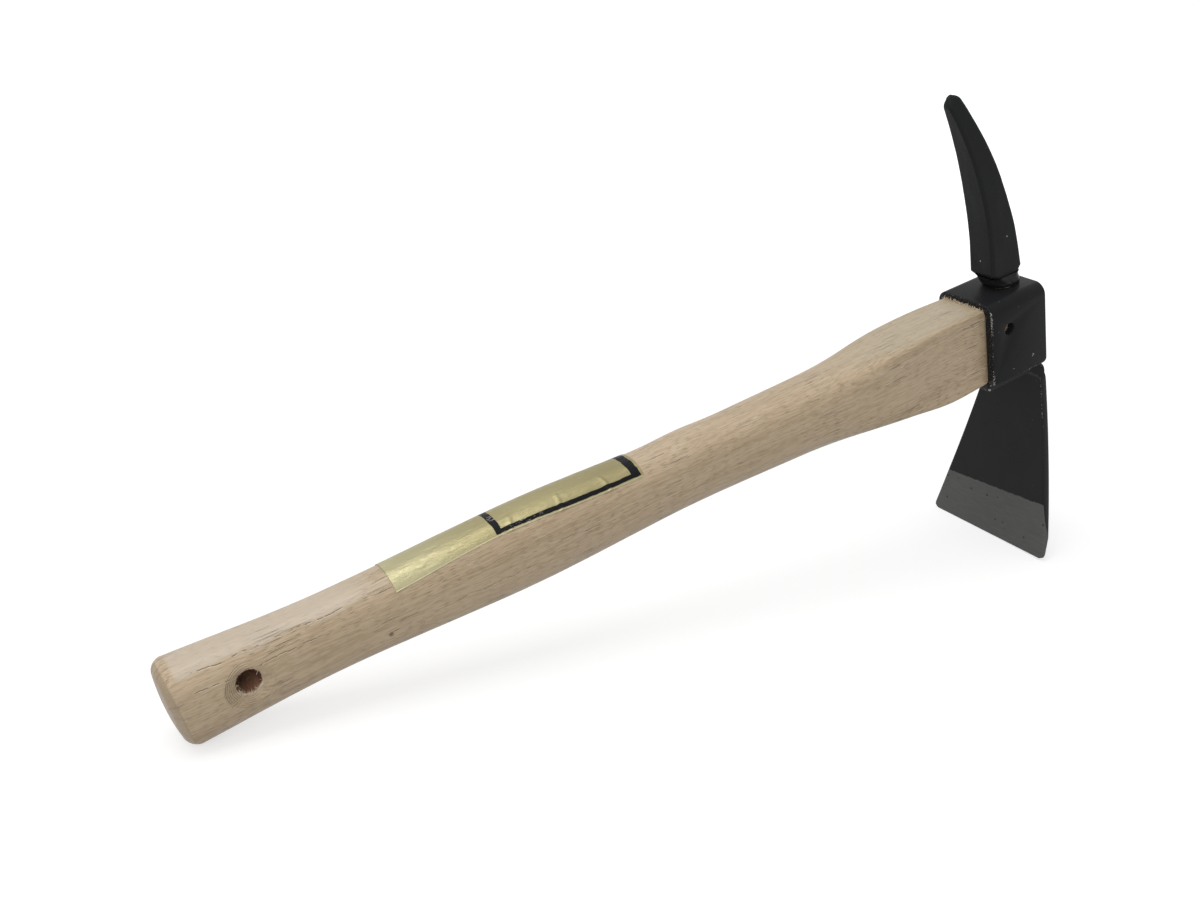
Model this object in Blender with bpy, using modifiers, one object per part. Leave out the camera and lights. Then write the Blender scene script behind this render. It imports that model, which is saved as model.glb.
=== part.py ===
# Combination hoe: a welded steel head, with a hoe blade below the eye and a pick above it, on a beech handle.
#
# Each piece is drawn in the tool's own frame. X runs along the handle from the butt to the head,
# Z points to the pick, and the origin is on the handle's axis in the mouth of the eye.
# The empty "tool" then tips the frame, so that the tool stands on its blade edge and its butt.

import math

import bmesh
import bpy
from mathutils import Matrix, Vector

MM = 0.001
GAP = 0.3 * MM  # between pieces that touch
CUTTER_LENGTH = 60.0 * MM

# Steel plate of the head
PLATE = 4.2 * MM
EYE_PLATE = 4.5 * MM
PLATE_EDGE_ROUND = 0.5 * MM

# Eye: a strap bent into an inverted U
EYE_WIDTH = 37.0 * MM
EYE_TOP = 22.0 * MM
EYE_BOTTOM = -21.1 * MM
EYE_LENGTH = 36.5 * MM
EYE_BEND = 6.0 * MM
EYE_CORNER = 2.6 * MM  # rounding of the walls' lower outer corners
EYE_BEND_STEPS = 8
EYE_CORNER_STEPS = 5
NAIL_HOLE_DIAMETER = 6.0 * MM
NAIL_HOLE_X = 11.8 * MM
NAIL_HOLE_Z = 6.3 * MM

# Hoe blade: a plate bent into an L, whose short leg closes the eye
LEG_TOP = -21.4 * MM
LEG_LENGTH = 27.9 * MM
LEG_HALF_WIDTH = 14.6 * MM
LEG_CLIP = 1.0 * MM  # clipped corners of its free end
BLADE_BEND = 8.2 * MM
BLADE_BEND_ANGLE = math.radians(102.0)
BLADE_LENGTH = 93.6 * MM
BLADE_BOW = 750.0 * MM
BLADE_EDGE_WIDTH = 81.8 * MM
BLADE_CORNER = 3.2 * MM
BLADE_CORNER_STEPS = 6
BLADE_BEND_STEPS = 10
BLADE_BOW_STEPS = 9
BLADE_SKEW = 0.015  # the edge is worn a little off square
EDGE_THICKNESS = 0.6 * MM
EDGE_BEVEL = 12.0 * MM  # on the far face, up from the edge
GRIND_FAR = 21.5 * MM  # shallow grind on the face that meets the soil
GRIND_NEAR = 26.5 * MM
GRIND_DEPTH = 0.5 * MM
PLANE_CUTTER_SIZE = (160.0 * MM, 120.0 * MM)

# Pick: a tapered bar forged on a bend, with its foot drawn in to a round neck for the weld
PICK_X = 22.0 * MM
PICK_BEND = 224.0 * MM
PICK_LENGTH = 106.4 * MM
PICK_ROOT_DEPTH = 20.6 * MM
PICK_DEPTH_TAPER = 0.124
PICK_ROOT_WIDTH = 16.5 * MM
PICK_TIP_WIDTH = 4.8 * MM
PICK_WIDTH_TAPER = 2.8  # exponent: the width falls mostly near the tip
PICK_ARRIS = 1.7 * MM
PICK_NOSE = 4.5 * MM
PICK_NOSE_FLAT = 0.42  # of the section's size, at the very tip
PICK_RINGS = 16
PICK_NOSE_RINGS = 5
# height of the section over the eye, shift towards the head's end, half depth, half width, corner
PICK_FOOT = (
    (0.0, 2.9, 5.7, 6.4, 5.0),
    (5.0, 1.5, 7.2, 7.4, 4.5),
    (7.2, 0.4, 8.9, 8.0, 3.0),
)
PICK_SHOULDER = 9.0 * MM  # where the full section starts

# Weld round the neck: height over the eye, thickness, shift
PICK_BEAD = ((0.0, 1.8, 0.7), (1.4, 1.8, 0.4), (3.2, 1.1, 0.1), (4.6, 0.4, 0.0))
PICK_BEAD_RIPPLED = (1, 2)  # the loops that carry the ripples
PICK_BEAD_RIPPLES = 22
PICK_BEAD_RIPPLE = 0.15 * MM
PICK_BEAD_STEPS = 14  # in each corner of a loop

# Welds under the walls of the eye
EYE_BEAD_INNER = 10.5 * MM
EYE_BEAD_OUTER = 16.6 * MM
EYE_BEAD_BACK = 1.9 * MM  # from the end of the eye
EYE_BEAD_LOW = math.radians(80.0)  # how far down the blade's bend it reaches
EYE_BEAD_LIFT = 0.15 * MM  # off the steel at its two ends
EYE_BEAD_BELLY = 0.5 * MM
EYE_BEAD_FULLNESS = (0.55, 0.41)  # of the corner, at the ends and what is added in the middle
EYE_BEAD_RIPPLES = 4
EYE_BEAD_RIPPLE = 0.04
EYE_BEAD_RINGS = 12
EYE_BEAD_STEPS = 6
EYE_BEAD_END_ROUND = 0.35  # exponent of its swelling: how blunt the two ends are

# Handle
HANDLE_LENGTH = 418.7 * MM  # from the mouth of the eye to the butt
BUTT_CHAMFER_LENGTH = 5.0 * MM
BUTT_CHAMFER_DEPTH = 4.2 * MM
BUTT_LEAN = 0.06  # the end is sawn a little off square
# distance from the eye, height above the axis, depth below it, half width
HANDLE_STATIONS = (
    (0.0, 19.0, 21.3, 13.8),
    (22.0, 19.5, 22.3, 14.3),
    (50.0, 18.9, 19.8, 15.0),
    (80.0, 17.9, 18.8, 14.9),
    (112.0, 17.9, 17.6, 14.2),
    (175.0, 17.3, 16.1, 13.4),
    (255.0, 19.6, 18.0, 14.7),
    (350.0, 17.8, 15.4, 13.1),
    (413.5, 20.6, 18.1, 15.0),
)
GRIP_ROUNDNESS = 2.5  # exponent of the section: 2 is an ellipse, and a high one a square block
EYE_SQUARENESS = 42.0
SQUARE_FADE = 42.0 * MM
HANDLE_RINGS = 54
HANDLE_SIDES = 48
RING_CROWDING = 0.3  # how much closer the rings stand near the eye
TENON_HALF_WIDTH = 13.7 * MM
TENON_TOP = 17.2 * MM
TENON_BOTTOM = -21.1 * MM
TENON_LENGTH = 35.9 * MM
TENON_END_CHAMFER = 0.8 * MM
HANG_HOLE_DIAMETER = 10.2 * MM
HANG_HOLE_FROM_BUTT = 31.3 * MM
HANG_HOLE_Z = 4.0 * MM
HANG_DISH_DIAMETER = 21.0 * MM
HANG_DISH_DEPTH = 2.2 * MM
HANG_DISH_FLOOR = 7.0 * MM  # diameter of the cone at its depth, inside the hole
HANG_DISH_DROP = 1.4 * MM  # the dish is worn downwards from the hole
HANG_DISH_CLEARANCE = 6.0 * MM

# Wedge in the end of the tenon
WEDGE_HEIGHT = 26.0 * MM
WEDGE_LENGTH = 17.0 * MM
WEDGE_HEAD = 3.0 * MM
WEDGE_TIP = 0.8 * MM
WEDGE_PROUD = 0.3 * MM

# Foil label
LABEL_FROM = -320.8 * MM
LABEL_TO = -199.2 * MM
LABEL_THICKNESS = 0.3 * MM
# share of its length, and degrees above the near side there
LABEL_LOW_EDGE = ((0.0, 35.0), (0.42, 48.0), (0.80, 41.5), (1.0, 41.0))
LABEL_HIGH_EDGE = 139.0
LABEL_COLUMNS = 24
LABEL_ROWS = 14

MATERIALS = {
    "beech": ((0.52, 0.39, 0.25), 0.55, 0.0),
    "black_paint": ((0.018, 0.019, 0.021), 0.38, 0.3),
    "weld_metal": ((0.025, 0.026, 0.028), 0.42, 0.4),
    "wedge_steel": ((0.22, 0.21, 0.20), 0.45, 0.9),
    "gold_foil": ((0.60, 0.46, 0.18), 0.30, 0.8),
}


def clear_scene():
    for obj in list(bpy.data.objects):
        bpy.data.objects.remove(obj, do_unlink=True)


def make_collection(name, cutters=False):
    collection = bpy.data.collections.new(name)
    bpy.context.scene.collection.children.link(collection)
    collection.hide_render = cutters
    return collection


def make_material(name):
    colour, roughness, metallic = MATERIALS[name]
    material = bpy.data.materials.new(name)
    material.use_nodes = True
    shader = material.node_tree.nodes["Principled BSDF"]
    shader.inputs["Base Color"].default_value = (*colour, 1.0)
    shader.inputs["Roughness"].default_value = roughness
    shader.inputs["Metallic"].default_value = metallic
    material.diffuse_color = (*colour, 1.0)
    return material


def finish_object(bm, name, collection, parent, material=None):
    """Turns the bmesh into an object, with its faces out and its round parts shaded smooth."""
    mesh = bpy.data.meshes.new(name)
    bm.to_mesh(mesh)
    bm.free()
    mesh.shade_smooth()
    mesh.set_sharp_from_angle(angle=math.radians(32.0))
    obj = bpy.data.objects.new(name, mesh)
    collection.objects.link(obj)
    obj.parent = parent
    if material:
        mesh.materials.append(material)
    else:
        obj.hide_render = True
        obj.display_type = "WIRE"
    return obj


def add_solidify(obj, thickness, offset):
    modifier = obj.modifiers.new("thickness", "SOLIDIFY")
    modifier.thickness = thickness
    modifier.offset = offset
    modifier.use_even_offset = True


def add_cut(obj, cutter):
    modifier = obj.modifiers.new(cutter.name, "BOOLEAN")
    modifier.operation = "DIFFERENCE"
    modifier.solver = "EXACT"
    modifier.object = cutter


def add_bevel(obj, width, angle=40.0):
    modifier = obj.modifiers.new("edge_round", "BEVEL")
    modifier.width = width
    modifier.segments = 2
    modifier.limit_method = "ANGLE"
    modifier.angle_limit = math.radians(angle)


def add_even_shading(obj):
    """Lets the large flat faces set the shading at the plate's edges."""
    modifier = obj.modifiers.new("even_shading", "WEIGHTED_NORMAL")
    modifier.keep_sharp = True


def loft(rings, closed_path=False):
    """Closed solid through rings of points, each with the same number of them."""
    bm = bmesh.new()
    rows = [[bm.verts.new(point) for point in ring] for ring in rings]
    count = len(rows[0])
    pairs = list(zip(rows, rows[1:]))
    if closed_path:
        pairs.append((rows[-1], rows[0]))
    for one, two in pairs:
        for i in range(count):
            j = (i + 1) % count
            bm.faces.new((one[i], one[j], two[j], two[i]))
    if not closed_path:
        bm.faces.new(reversed(rows[0]))
        bm.faces.new(rows[-1])
    if bm.calc_volume(signed=True) < 0:
        bmesh.ops.reverse_faces(bm, faces=bm.faces)
    return bm


def smooth_through(knots, x):
    """Height at x of the smooth curve through the knots, which never swings past them."""
    spans = [(after[1] - before[1]) / (after[0] - before[0]) for before, after in zip(knots, knots[1:])]
    slopes = [spans[0]]
    for before, after in zip(spans, spans[1:]):
        slopes.append(0.0 if before * after <= 0.0 else 2.0 * before * after / (before + after))
    slopes.append(spans[-1])
    x = min(max(x, knots[0][0]), knots[-1][0])
    i = max(k for k in range(len(spans)) if k == 0 or knots[k][0] <= x)
    width = knots[i + 1][0] - knots[i][0]
    t = (x - knots[i][0]) / width
    start = (1 + 2 * t) * (1 - t) ** 2 * knots[i][1] + t * (1 - t) ** 2 * width * slopes[i]
    end = t * t * (3 - 2 * t) * knots[i + 1][1] + t * t * (t - 1) * width * slopes[i + 1]
    return start + end


def oval_point(half_width, half_height, exponent, angle):
    """Point (y, z) of a superellipse. The angle starts at the near side, -Y, and turns up."""
    c, s = math.cos(angle), math.sin(angle)
    y = -half_width * math.copysign(abs(c) ** (2.0 / exponent), c)
    z = half_height * math.copysign(abs(s) ** (2.0 / exponent), s)
    return y, z


# Handle

def handle_section(x):
    """Half width, half height, height of the centre, and exponent of the handle's section at x."""
    away = -x / MM
    top = smooth_through([(s[0], s[1]) for s in HANDLE_STATIONS], away) * MM
    bottom = smooth_through([(s[0], s[2]) for s in HANDLE_STATIONS], away) * MM
    half_width = smooth_through([(s[0], s[3]) for s in HANDLE_STATIONS], away) * MM
    exponent = GRIP_ROUNDNESS + EYE_SQUARENESS * math.exp(-((min(x, 0.0) / SQUARE_FADE) ** 2))
    return half_width, (top + bottom) / 2, (top - bottom) / 2, exponent


def handle_ring(x, inset=0.0):
    half_width, half_height, centre, exponent = handle_section(x)
    ring = []
    for i in range(HANDLE_SIDES):
        angle = 2 * math.pi * i / HANDLE_SIDES
        y, z = oval_point(half_width - inset, half_height - inset, exponent, angle)
        ring.append((x, y, centre + z))
    return ring


def tenon_ring(x, inset=0.0):
    half_height = (TENON_TOP - TENON_BOTTOM) / 2
    centre = (TENON_TOP + TENON_BOTTOM) / 2
    ring = []
    for i in range(HANDLE_SIDES):
        angle = 2 * math.pi * i / HANDLE_SIDES
        exponent = GRIP_ROUNDNESS + EYE_SQUARENESS
        y, z = oval_point(TENON_HALF_WIDTH - inset, half_height - inset, exponent, angle)
        ring.append((x, y, centre + z))
    return ring


def butt_ring(distance, inset):
    """Ring near the sawn end, which leans a little."""
    ring = handle_ring(-distance, inset)
    return [(x - BUTT_LEAN * z, y, z) for x, y, z in ring]


def make_handle(collection, cutters, tool):
    chamfer_at = HANDLE_LENGTH - BUTT_CHAMFER_LENGTH
    end = butt_ring(chamfer_at, BUTT_CHAMFER_DEPTH)
    rings = [[(x - BUTT_CHAMFER_LENGTH, y, z) for x, y, z in end], butt_ring(chamfer_at, 0.0)]
    for i in range(1, HANDLE_RINGS):
        along = i / (HANDLE_RINGS - 1)
        eased = along + RING_CROWDING * along * (1.0 - along)
        rings.append(handle_ring(-GAP - (chamfer_at - GAP) * (1.0 - eased)))
    rings.append(tenon_ring(-GAP))
    rings.append(tenon_ring(TENON_LENGTH - TENON_END_CHAMFER))
    rings.append(tenon_ring(TENON_LENGTH, TENON_END_CHAMFER))
    handle = finish_object(loft(rings), "handle", collection, tool, make_material("beech"))
    add_cut(handle, make_hang_hole(cutters, tool))
    add_cut(handle, make_hang_dish(cutters, tool))
    add_cut(handle, make_wedge_solid("wedge_kerf", cutters, tool, GAP))
    return handle


def hang_hole_place():
    return Vector((-HANDLE_LENGTH + HANG_HOLE_FROM_BUTT, 0.0, HANG_HOLE_Z))


def cross_cone(name, cutters, tool, place, near_diameter, far_diameter, length, segments):
    """Cutter that runs across the tool, with its middle at a place and its near end on the -Y side."""
    bm = bmesh.new()
    bmesh.ops.create_cone(
        bm,
        cap_ends=True,
        segments=segments,
        radius1=far_diameter / 2,
        radius2=near_diameter / 2,
        depth=length,
        matrix=Matrix.Translation(place) @ Matrix.Rotation(math.radians(90.0), 4, "X"),
    )
    return finish_object(bm, name, cutters, tool)


def make_hang_hole(cutters, tool):
    diameter = HANG_HOLE_DIAMETER
    return cross_cone("hang_hole", cutters, tool, hang_hole_place(), diameter, diameter, CUTTER_LENGTH, 32)


def make_hang_dish(cutters, tool):
    """Cone that countersinks the near end of the hanging hole."""
    surface = handle_section(hang_hole_place().x)[0]
    length = HANG_DISH_DEPTH + HANG_DISH_CLEARANCE
    spread = (HANG_DISH_DIAMETER - HANG_DISH_FLOOR) / HANG_DISH_DEPTH
    place = hang_hole_place() - Vector((0.0, surface - HANG_DISH_DEPTH + length / 2, HANG_DISH_DROP))
    outer = HANG_DISH_FLOOR + spread * length
    return cross_cone("hang_dish", cutters, tool, place, outer, HANG_DISH_FLOOR, length, 40)


def make_wedge_solid(name, collection, tool, grow=0.0, material=None):
    """Taper driven along X. Grown by the gap on every side, it is the kerf that the wedge sits in."""
    bm = bmesh.new()
    bmesh.ops.create_cube(bm, size=1.0)
    head_at = TENON_LENGTH + (WEDGE_LENGTH if grow else WEDGE_PROUD)
    tip_at = TENON_LENGTH - WEDGE_LENGTH - grow
    middle = (TENON_TOP + TENON_BOTTOM) / 2
    taper = (WEDGE_HEAD - WEDGE_TIP) / WEDGE_LENGTH
    for vert in bm.verts:
        x = head_at if vert.co.x > 0 else tip_at
        thickness = WEDGE_TIP + taper * (x - TENON_LENGTH + WEDGE_LENGTH) + 2 * grow
        vert.co = Vector((x, vert.co.y * thickness, middle + vert.co.z * (WEDGE_HEIGHT + 2 * grow)))
    return finish_object(bm, name, collection, tool, material)


# Eye

def make_eye_strap(collection, cutters, tool):
    half = EYE_WIDTH / 2
    centre_y, centre_z = half - EYE_BEND, EYE_TOP - EYE_BEND
    bend = [math.radians(90.0 * i / EYE_BEND_STEPS) for i in range(EYE_BEND_STEPS + 1)]
    near = [(-half, EYE_BOTTOM), (-half, 0.0)]
    near += [(-centre_y - EYE_BEND * math.cos(a), centre_z + EYE_BEND * math.sin(a)) for a in bend]
    path = near + [(-y, z) for y, z in reversed(near)]
    bm = bmesh.new()
    verts = [bm.verts.new((0.0, y, z)) for y, z in path]
    edges = [bm.edges.new(pair) for pair in zip(verts, verts[1:])]
    grown = bmesh.ops.extrude_edge_only(bm, edges=edges)["geom"]
    grown_verts = [item for item in grown if isinstance(item, bmesh.types.BMVert)]
    bmesh.ops.translate(bm, verts=grown_verts, vec=(EYE_LENGTH, 0.0, 0.0))
    bmesh.ops.recalc_face_normals(bm, faces=bm.faces)
    top = max(bm.faces, key=lambda face: face.calc_center_median().z)
    if top.normal.z < 0:
        bmesh.ops.reverse_faces(bm, faces=bm.faces)
    strap = finish_object(bm, "eye_strap", collection, tool, make_material("black_paint"))
    add_solidify(strap, EYE_PLATE, -1.0)
    add_cut(strap, make_nail_hole(cutters, tool))
    add_cut(strap, make_corner_cutter(cutters, tool))
    add_bevel(strap, PLATE_EDGE_ROUND)
    add_even_shading(strap)
    return strap


def make_corner_cutter(cutters, tool):
    """Prism across the tool that rounds the lower outer corner of both walls."""
    centre_x, centre_z = EYE_LENGTH - EYE_CORNER, EYE_BOTTOM + EYE_CORNER
    profile = [(EYE_LENGTH + EYE_CORNER, centre_z), (EYE_LENGTH + EYE_CORNER, EYE_BOTTOM - EYE_CORNER)]
    profile.append((centre_x, EYE_BOTTOM - EYE_CORNER))
    for i in range(EYE_CORNER_STEPS + 1):
        angle = math.radians(90.0 * i / EYE_CORNER_STEPS)
        profile.append((centre_x + EYE_CORNER * math.sin(angle), centre_z - EYE_CORNER * math.cos(angle)))
    sides = [[(x, y, z) for x, z in profile] for y in (-EYE_WIDTH, EYE_WIDTH)]
    return finish_object(loft(sides), "eye_corner", cutters, tool)


def make_nail_hole(cutters, tool):
    place = Vector((NAIL_HOLE_X, 0.0, NAIL_HOLE_Z))
    diameter = NAIL_HOLE_DIAMETER
    return cross_cone("nail_hole", cutters, tool, place, diameter, diameter, CUTTER_LENGTH, 24)


# Hoe blade

def blade_path(s):
    """Point (x, z) and heading of the plate's outer face, s along the plate from the mouth of the eye."""
    if s <= LEG_LENGTH:
        return s, LEG_TOP, 0.0
    bend_end = LEG_LENGTH + BLADE_BEND * BLADE_BEND_ANGLE
    turn = min(s, bend_end) - LEG_LENGTH
    heading = turn / BLADE_BEND
    x = LEG_LENGTH + BLADE_BEND * math.sin(heading)
    z = LEG_TOP - BLADE_BEND * (1.0 - math.cos(heading))
    if s <= bend_end:
        return x, z, heading
    bowed = heading + (s - bend_end) / BLADE_BOW
    x += BLADE_BOW * (math.sin(bowed) - math.sin(heading))
    z -= BLADE_BOW * (math.cos(heading) - math.cos(bowed))
    return x, z, bowed


def blade_total():
    return LEG_LENGTH + BLADE_BEND * BLADE_BEND_ANGLE + BLADE_LENGTH


def blade_point(s, y, depth=0.0):
    """Point of the bent plate, depth below its outer face."""
    x, z, heading = blade_path(s)
    return Vector((x - depth * math.sin(heading), y, z - depth * math.cos(heading)))


def blade_outline():
    """Half of the flat blank, as points (s, y) from the leg's end to the middle of the edge."""
    length = blade_total()
    flare = (BLADE_EDGE_WIDTH / 2 - LEG_HALF_WIDTH) / (length - LEG_LENGTH)
    lean = math.atan(flare)
    points = [(0.0, LEG_HALF_WIDTH - LEG_CLIP), (LEG_CLIP, LEG_HALF_WIDTH), (LEG_LENGTH, LEG_HALF_WIDTH)]
    corner_s = length - BLADE_CORNER
    corner_y = LEG_HALF_WIDTH + flare * (corner_s - LEG_LENGTH)
    corner_y += BLADE_CORNER * math.tan(lean) * math.sin(lean) - BLADE_CORNER / math.cos(lean)
    for i in range(BLADE_CORNER_STEPS + 1):
        angle = (math.radians(90.0) + lean) * (1.0 - i / BLADE_CORNER_STEPS)
        points.append((corner_s + BLADE_CORNER * math.cos(angle), corner_y + BLADE_CORNER * math.sin(angle)))
    return points


def make_hoe_blade(collection, cutters, tool):
    bend_end = LEG_LENGTH + BLADE_BEND * BLADE_BEND_ANGLE
    half = blade_outline()
    outline = [(s, -y) for s, y in half] + [(s, y) for s, y in reversed(half)]
    outline = [(s + BLADE_SKEW * y * (s > bend_end), y) for s, y in outline]
    bm = bmesh.new()
    bm.faces.new([bm.verts.new((s, y, 0.0)) for s, y in outline])
    bend_step = (bend_end - LEG_LENGTH) / BLADE_BEND_STEPS
    stations = [LEG_LENGTH + bend_step * i for i in range(BLADE_BEND_STEPS + 1)]
    stations += [bend_end + BLADE_LENGTH * i / BLADE_BOW_STEPS for i in range(1, BLADE_BOW_STEPS)]
    for s in stations:
        geometry = bm.verts[:] + bm.edges[:] + bm.faces[:]
        across = {"plane_co": (s, 0.0, 0.0), "plane_no": (1.0, 0.0, 0.0)}
        bmesh.ops.bisect_plane(bm, geom=geometry, dist=0.001 * MM, **across)
    bm.normal_update()
    if bm.faces[:][0].normal.z < 0:
        bmesh.ops.reverse_faces(bm, faces=bm.faces)
    for vert in bm.verts:
        vert.co = blade_point(vert.co.x, vert.co.y)
    blade = finish_object(bm, "hoe_blade", collection, tool, make_material("black_paint"))
    add_solidify(blade, PLATE, -1.0)
    add_cut(blade, make_edge_cutter(cutters, tool))
    add_cut(blade, make_grind_cutter(cutters, tool))
    add_even_shading(blade)
    return blade


def plane_cutter(name, cutters, tool, line, third, outside):
    """Box beside the plane through a line of two points and a third, on the side of the outside point."""
    one, two = line
    normal = (two - one).cross(third - one).normalized()
    if normal.dot(outside - one) < 0:
        normal.negate()
    along = (two - one).normalized()
    turn = Matrix((along, normal.cross(along), normal)).transposed().to_4x4()
    middle = (one + two) / 2
    centre = middle.lerp(third, 0.5) + normal * CUTTER_LENGTH / 2
    grow = Matrix.Diagonal((*PLANE_CUTTER_SIZE, CUTTER_LENGTH, 1.0))
    bm = bmesh.new()
    bmesh.ops.create_cube(bm, size=1.0, matrix=Matrix.Translation(centre) @ turn @ grow)
    return finish_object(bm, name, cutters, tool)


def make_edge_cutter(cutters, tool):
    """Grinds the far face down to the cutting edge."""
    length = blade_total()
    half = BLADE_EDGE_WIDTH / 2
    line = (blade_point(length - EDGE_BEVEL, -half), blade_point(length - EDGE_BEVEL, half))
    edge = blade_point(length, 0.0, PLATE - GRIND_DEPTH - EDGE_THICKNESS)
    return plane_cutter("edge_bevel", cutters, tool, line, edge, blade_point(length, 0.0, -PLATE))


def make_grind_cutter(cutters, tool):
    """Grinds the face that meets the soil, higher up on the near side than on the far one."""
    length = blade_total()
    half = BLADE_EDGE_WIDTH / 2
    line = (blade_point(length - GRIND_NEAR, -half, PLATE), blade_point(length - GRIND_FAR, half, PLATE))
    edge = blade_point(length, 0.0, PLATE - GRIND_DEPTH)
    return plane_cutter("face_grind", cutters, tool, line, edge, blade_point(length, 0.0, 2 * PLATE))


# Pick

def rounded_rectangle(half_x, half_y, radius, steps=4):
    """Points (x, y) round a rectangle with round corners."""
    radius = min(radius, half_x * 0.95, half_y * 0.95)
    points = []
    for quarter, (side_x, side_y) in enumerate(((1, 1), (-1, 1), (-1, -1), (1, -1))):
        for i in range(steps + 1):
            angle = math.radians(90.0 * (quarter + i / steps))
            x = side_x * (half_x - radius) + radius * math.cos(angle)
            y = side_y * (half_y - radius) + radius * math.sin(angle)
            points.append((x, y))
    return points


def pick_section(s):
    """Half depth along the handle, half width across it, and corner of the bar, s along the pick."""
    depth = PICK_ROOT_DEPTH - PICK_DEPTH_TAPER * s
    width = PICK_ROOT_WIDTH - (PICK_ROOT_WIDTH - PICK_TIP_WIDTH) * (s / PICK_LENGTH) ** PICK_WIDTH_TAPER
    nose = max(s - PICK_LENGTH + PICK_NOSE, 0.0) / PICK_NOSE
    shrink = max(math.sqrt(max(1.0 - nose * nose, 0.0)), PICK_NOSE_FLAT)
    return depth / 2 * shrink, width / 2 * shrink, PICK_ARRIS


def pick_ring(s, section, shift=0.0):
    """Section of the pick, square to its bend."""
    turn = s / PICK_BEND
    x = PICK_X - PICK_BEND * (1.0 - math.cos(turn))
    z = EYE_TOP + GAP + PICK_BEND * math.sin(turn)
    return [(x + (a + shift) * math.cos(turn), b, z + (a + shift) * math.sin(turn))
            for a, b in rounded_rectangle(*section)]


def make_pick(collection, tool):
    rings = []
    for height, shift, half_depth, half_width, corner in PICK_FOOT:
        section = (half_depth * MM, half_width * MM, corner * MM)
        rings.append(pick_ring(height * MM, section, shift * MM))
    nose_start = PICK_LENGTH - PICK_NOSE
    stops = [PICK_SHOULDER + (nose_start - PICK_SHOULDER) * i / PICK_RINGS for i in range(PICK_RINGS + 1)]
    for i in range(1, PICK_NOSE_RINGS + 1):
        stops.append(nose_start + PICK_NOSE * math.sin(math.radians(90.0 * i / PICK_NOSE_RINGS)))
    rings += [pick_ring(s, pick_section(s)) for s in stops]
    return finish_object(loft(rings), "pick", collection, tool, make_material("black_paint"))


# Welds

def neck_section(height):
    """Shift, half depth, half width and corner of the pick's neck at a height in mm over the eye."""
    low, high = PICK_FOOT[0], PICK_FOOT[1]
    along = (height - low[0]) / (high[0] - low[0])
    return [a + (b - a) * along for a, b in zip(low[1:], high[1:])]


def bead_loop(height, thickness, shift, rippled):
    """Loop round the neck, thickness out from it. The electrode leaves its ripples on the free face."""
    neck_shift, half_depth, half_width, corner = neck_section(height)
    section = [(size + thickness) * MM for size in (half_depth, half_width, corner)]
    points = rounded_rectangle(*section, steps=PICK_BEAD_STEPS)
    loop = []
    for i, (x, y) in enumerate(points):
        wave = math.sin(2 * math.pi * PICK_BEAD_RIPPLES * i / len(points)) if rippled else 0.0
        swell = 1.0 + PICK_BEAD_RIPPLE * wave / math.hypot(x, y)
        place_x = PICK_X + (neck_shift + shift) * MM + x * swell
        loop.append((place_x, y * swell, EYE_TOP + GAP + height * MM))
    return loop


def make_pick_weld(collection, tool):
    """Bead laid round the neck of the pick."""
    clear = GAP / MM
    rings = []
    for i, (height, thickness, shift) in enumerate(PICK_BEAD):
        rings.append(bead_loop(height, thickness + clear, shift, rippled=i in PICK_BEAD_RIPPLED))
    rings.append(bead_loop(PICK_BEAD[-1][0], clear, 0.0, rippled=False))
    rings.append(bead_loop(PICK_BEAD[0][0], clear, 0.0, rippled=False))
    bm = loft(rings, closed_path=True)
    return finish_object(bm, "pick_weld", collection, tool, make_material("weld_metal"))


def eye_bead_section(y, fullness, lift):
    """Fillet under the eye: it lies along the blade's bend, then bulges back up to the wall."""
    top = EYE_BOTTOM - GAP - lift
    inner = BLADE_BEND + GAP + lift
    centre_z = LEG_TOP - BLADE_BEND
    rise = top - centre_z
    tip = math.acos(rise / inner)
    full = math.atan2(EYE_LENGTH - EYE_BEAD_BACK - LEG_LENGTH, rise)
    crown = tip + (full - tip) * fullness
    reach = rise / math.cos(crown)
    polar = [(inner, tip + (EYE_BEAD_LOW - tip) * i / EYE_BEAD_STEPS) for i in range(EYE_BEAD_STEPS + 1)]
    for i in range(1, EYE_BEAD_STEPS + 1):
        t = i / EYE_BEAD_STEPS
        belly = EYE_BEAD_BELLY * fullness * math.sin(math.pi * t)
        polar.append((inner + (reach - inner) * t + belly, EYE_BEAD_LOW + (crown - EYE_BEAD_LOW) * t))
    return [Vector((LEG_LENGTH + r * math.sin(a), y, centre_z + r * math.cos(a))) for r, a in polar]


def make_eye_weld(name, side, collection, tool):
    """Weld in the corner between a wall of the eye and the bend of the blade. side is -1 on the near one."""
    rings = []
    least, more = EYE_BEAD_FULLNESS
    for i in range(EYE_BEAD_RINGS + 1):
        along = i / EYE_BEAD_RINGS
        from_middle = (2 * along - 1) ** 2
        y = side * (EYE_BEAD_INNER + (EYE_BEAD_OUTER - EYE_BEAD_INNER) * along)
        ripple = EYE_BEAD_RIPPLE * math.cos(2 * math.pi * EYE_BEAD_RIPPLES * along)
        fullness = least + more * (1.0 - from_middle) ** EYE_BEAD_END_ROUND + ripple
        rings.append(eye_bead_section(y, fullness, EYE_BEAD_LIFT * from_middle))
    return finish_object(loft(rings), name, collection, tool, make_material("weld_metal"))


# Label

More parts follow.
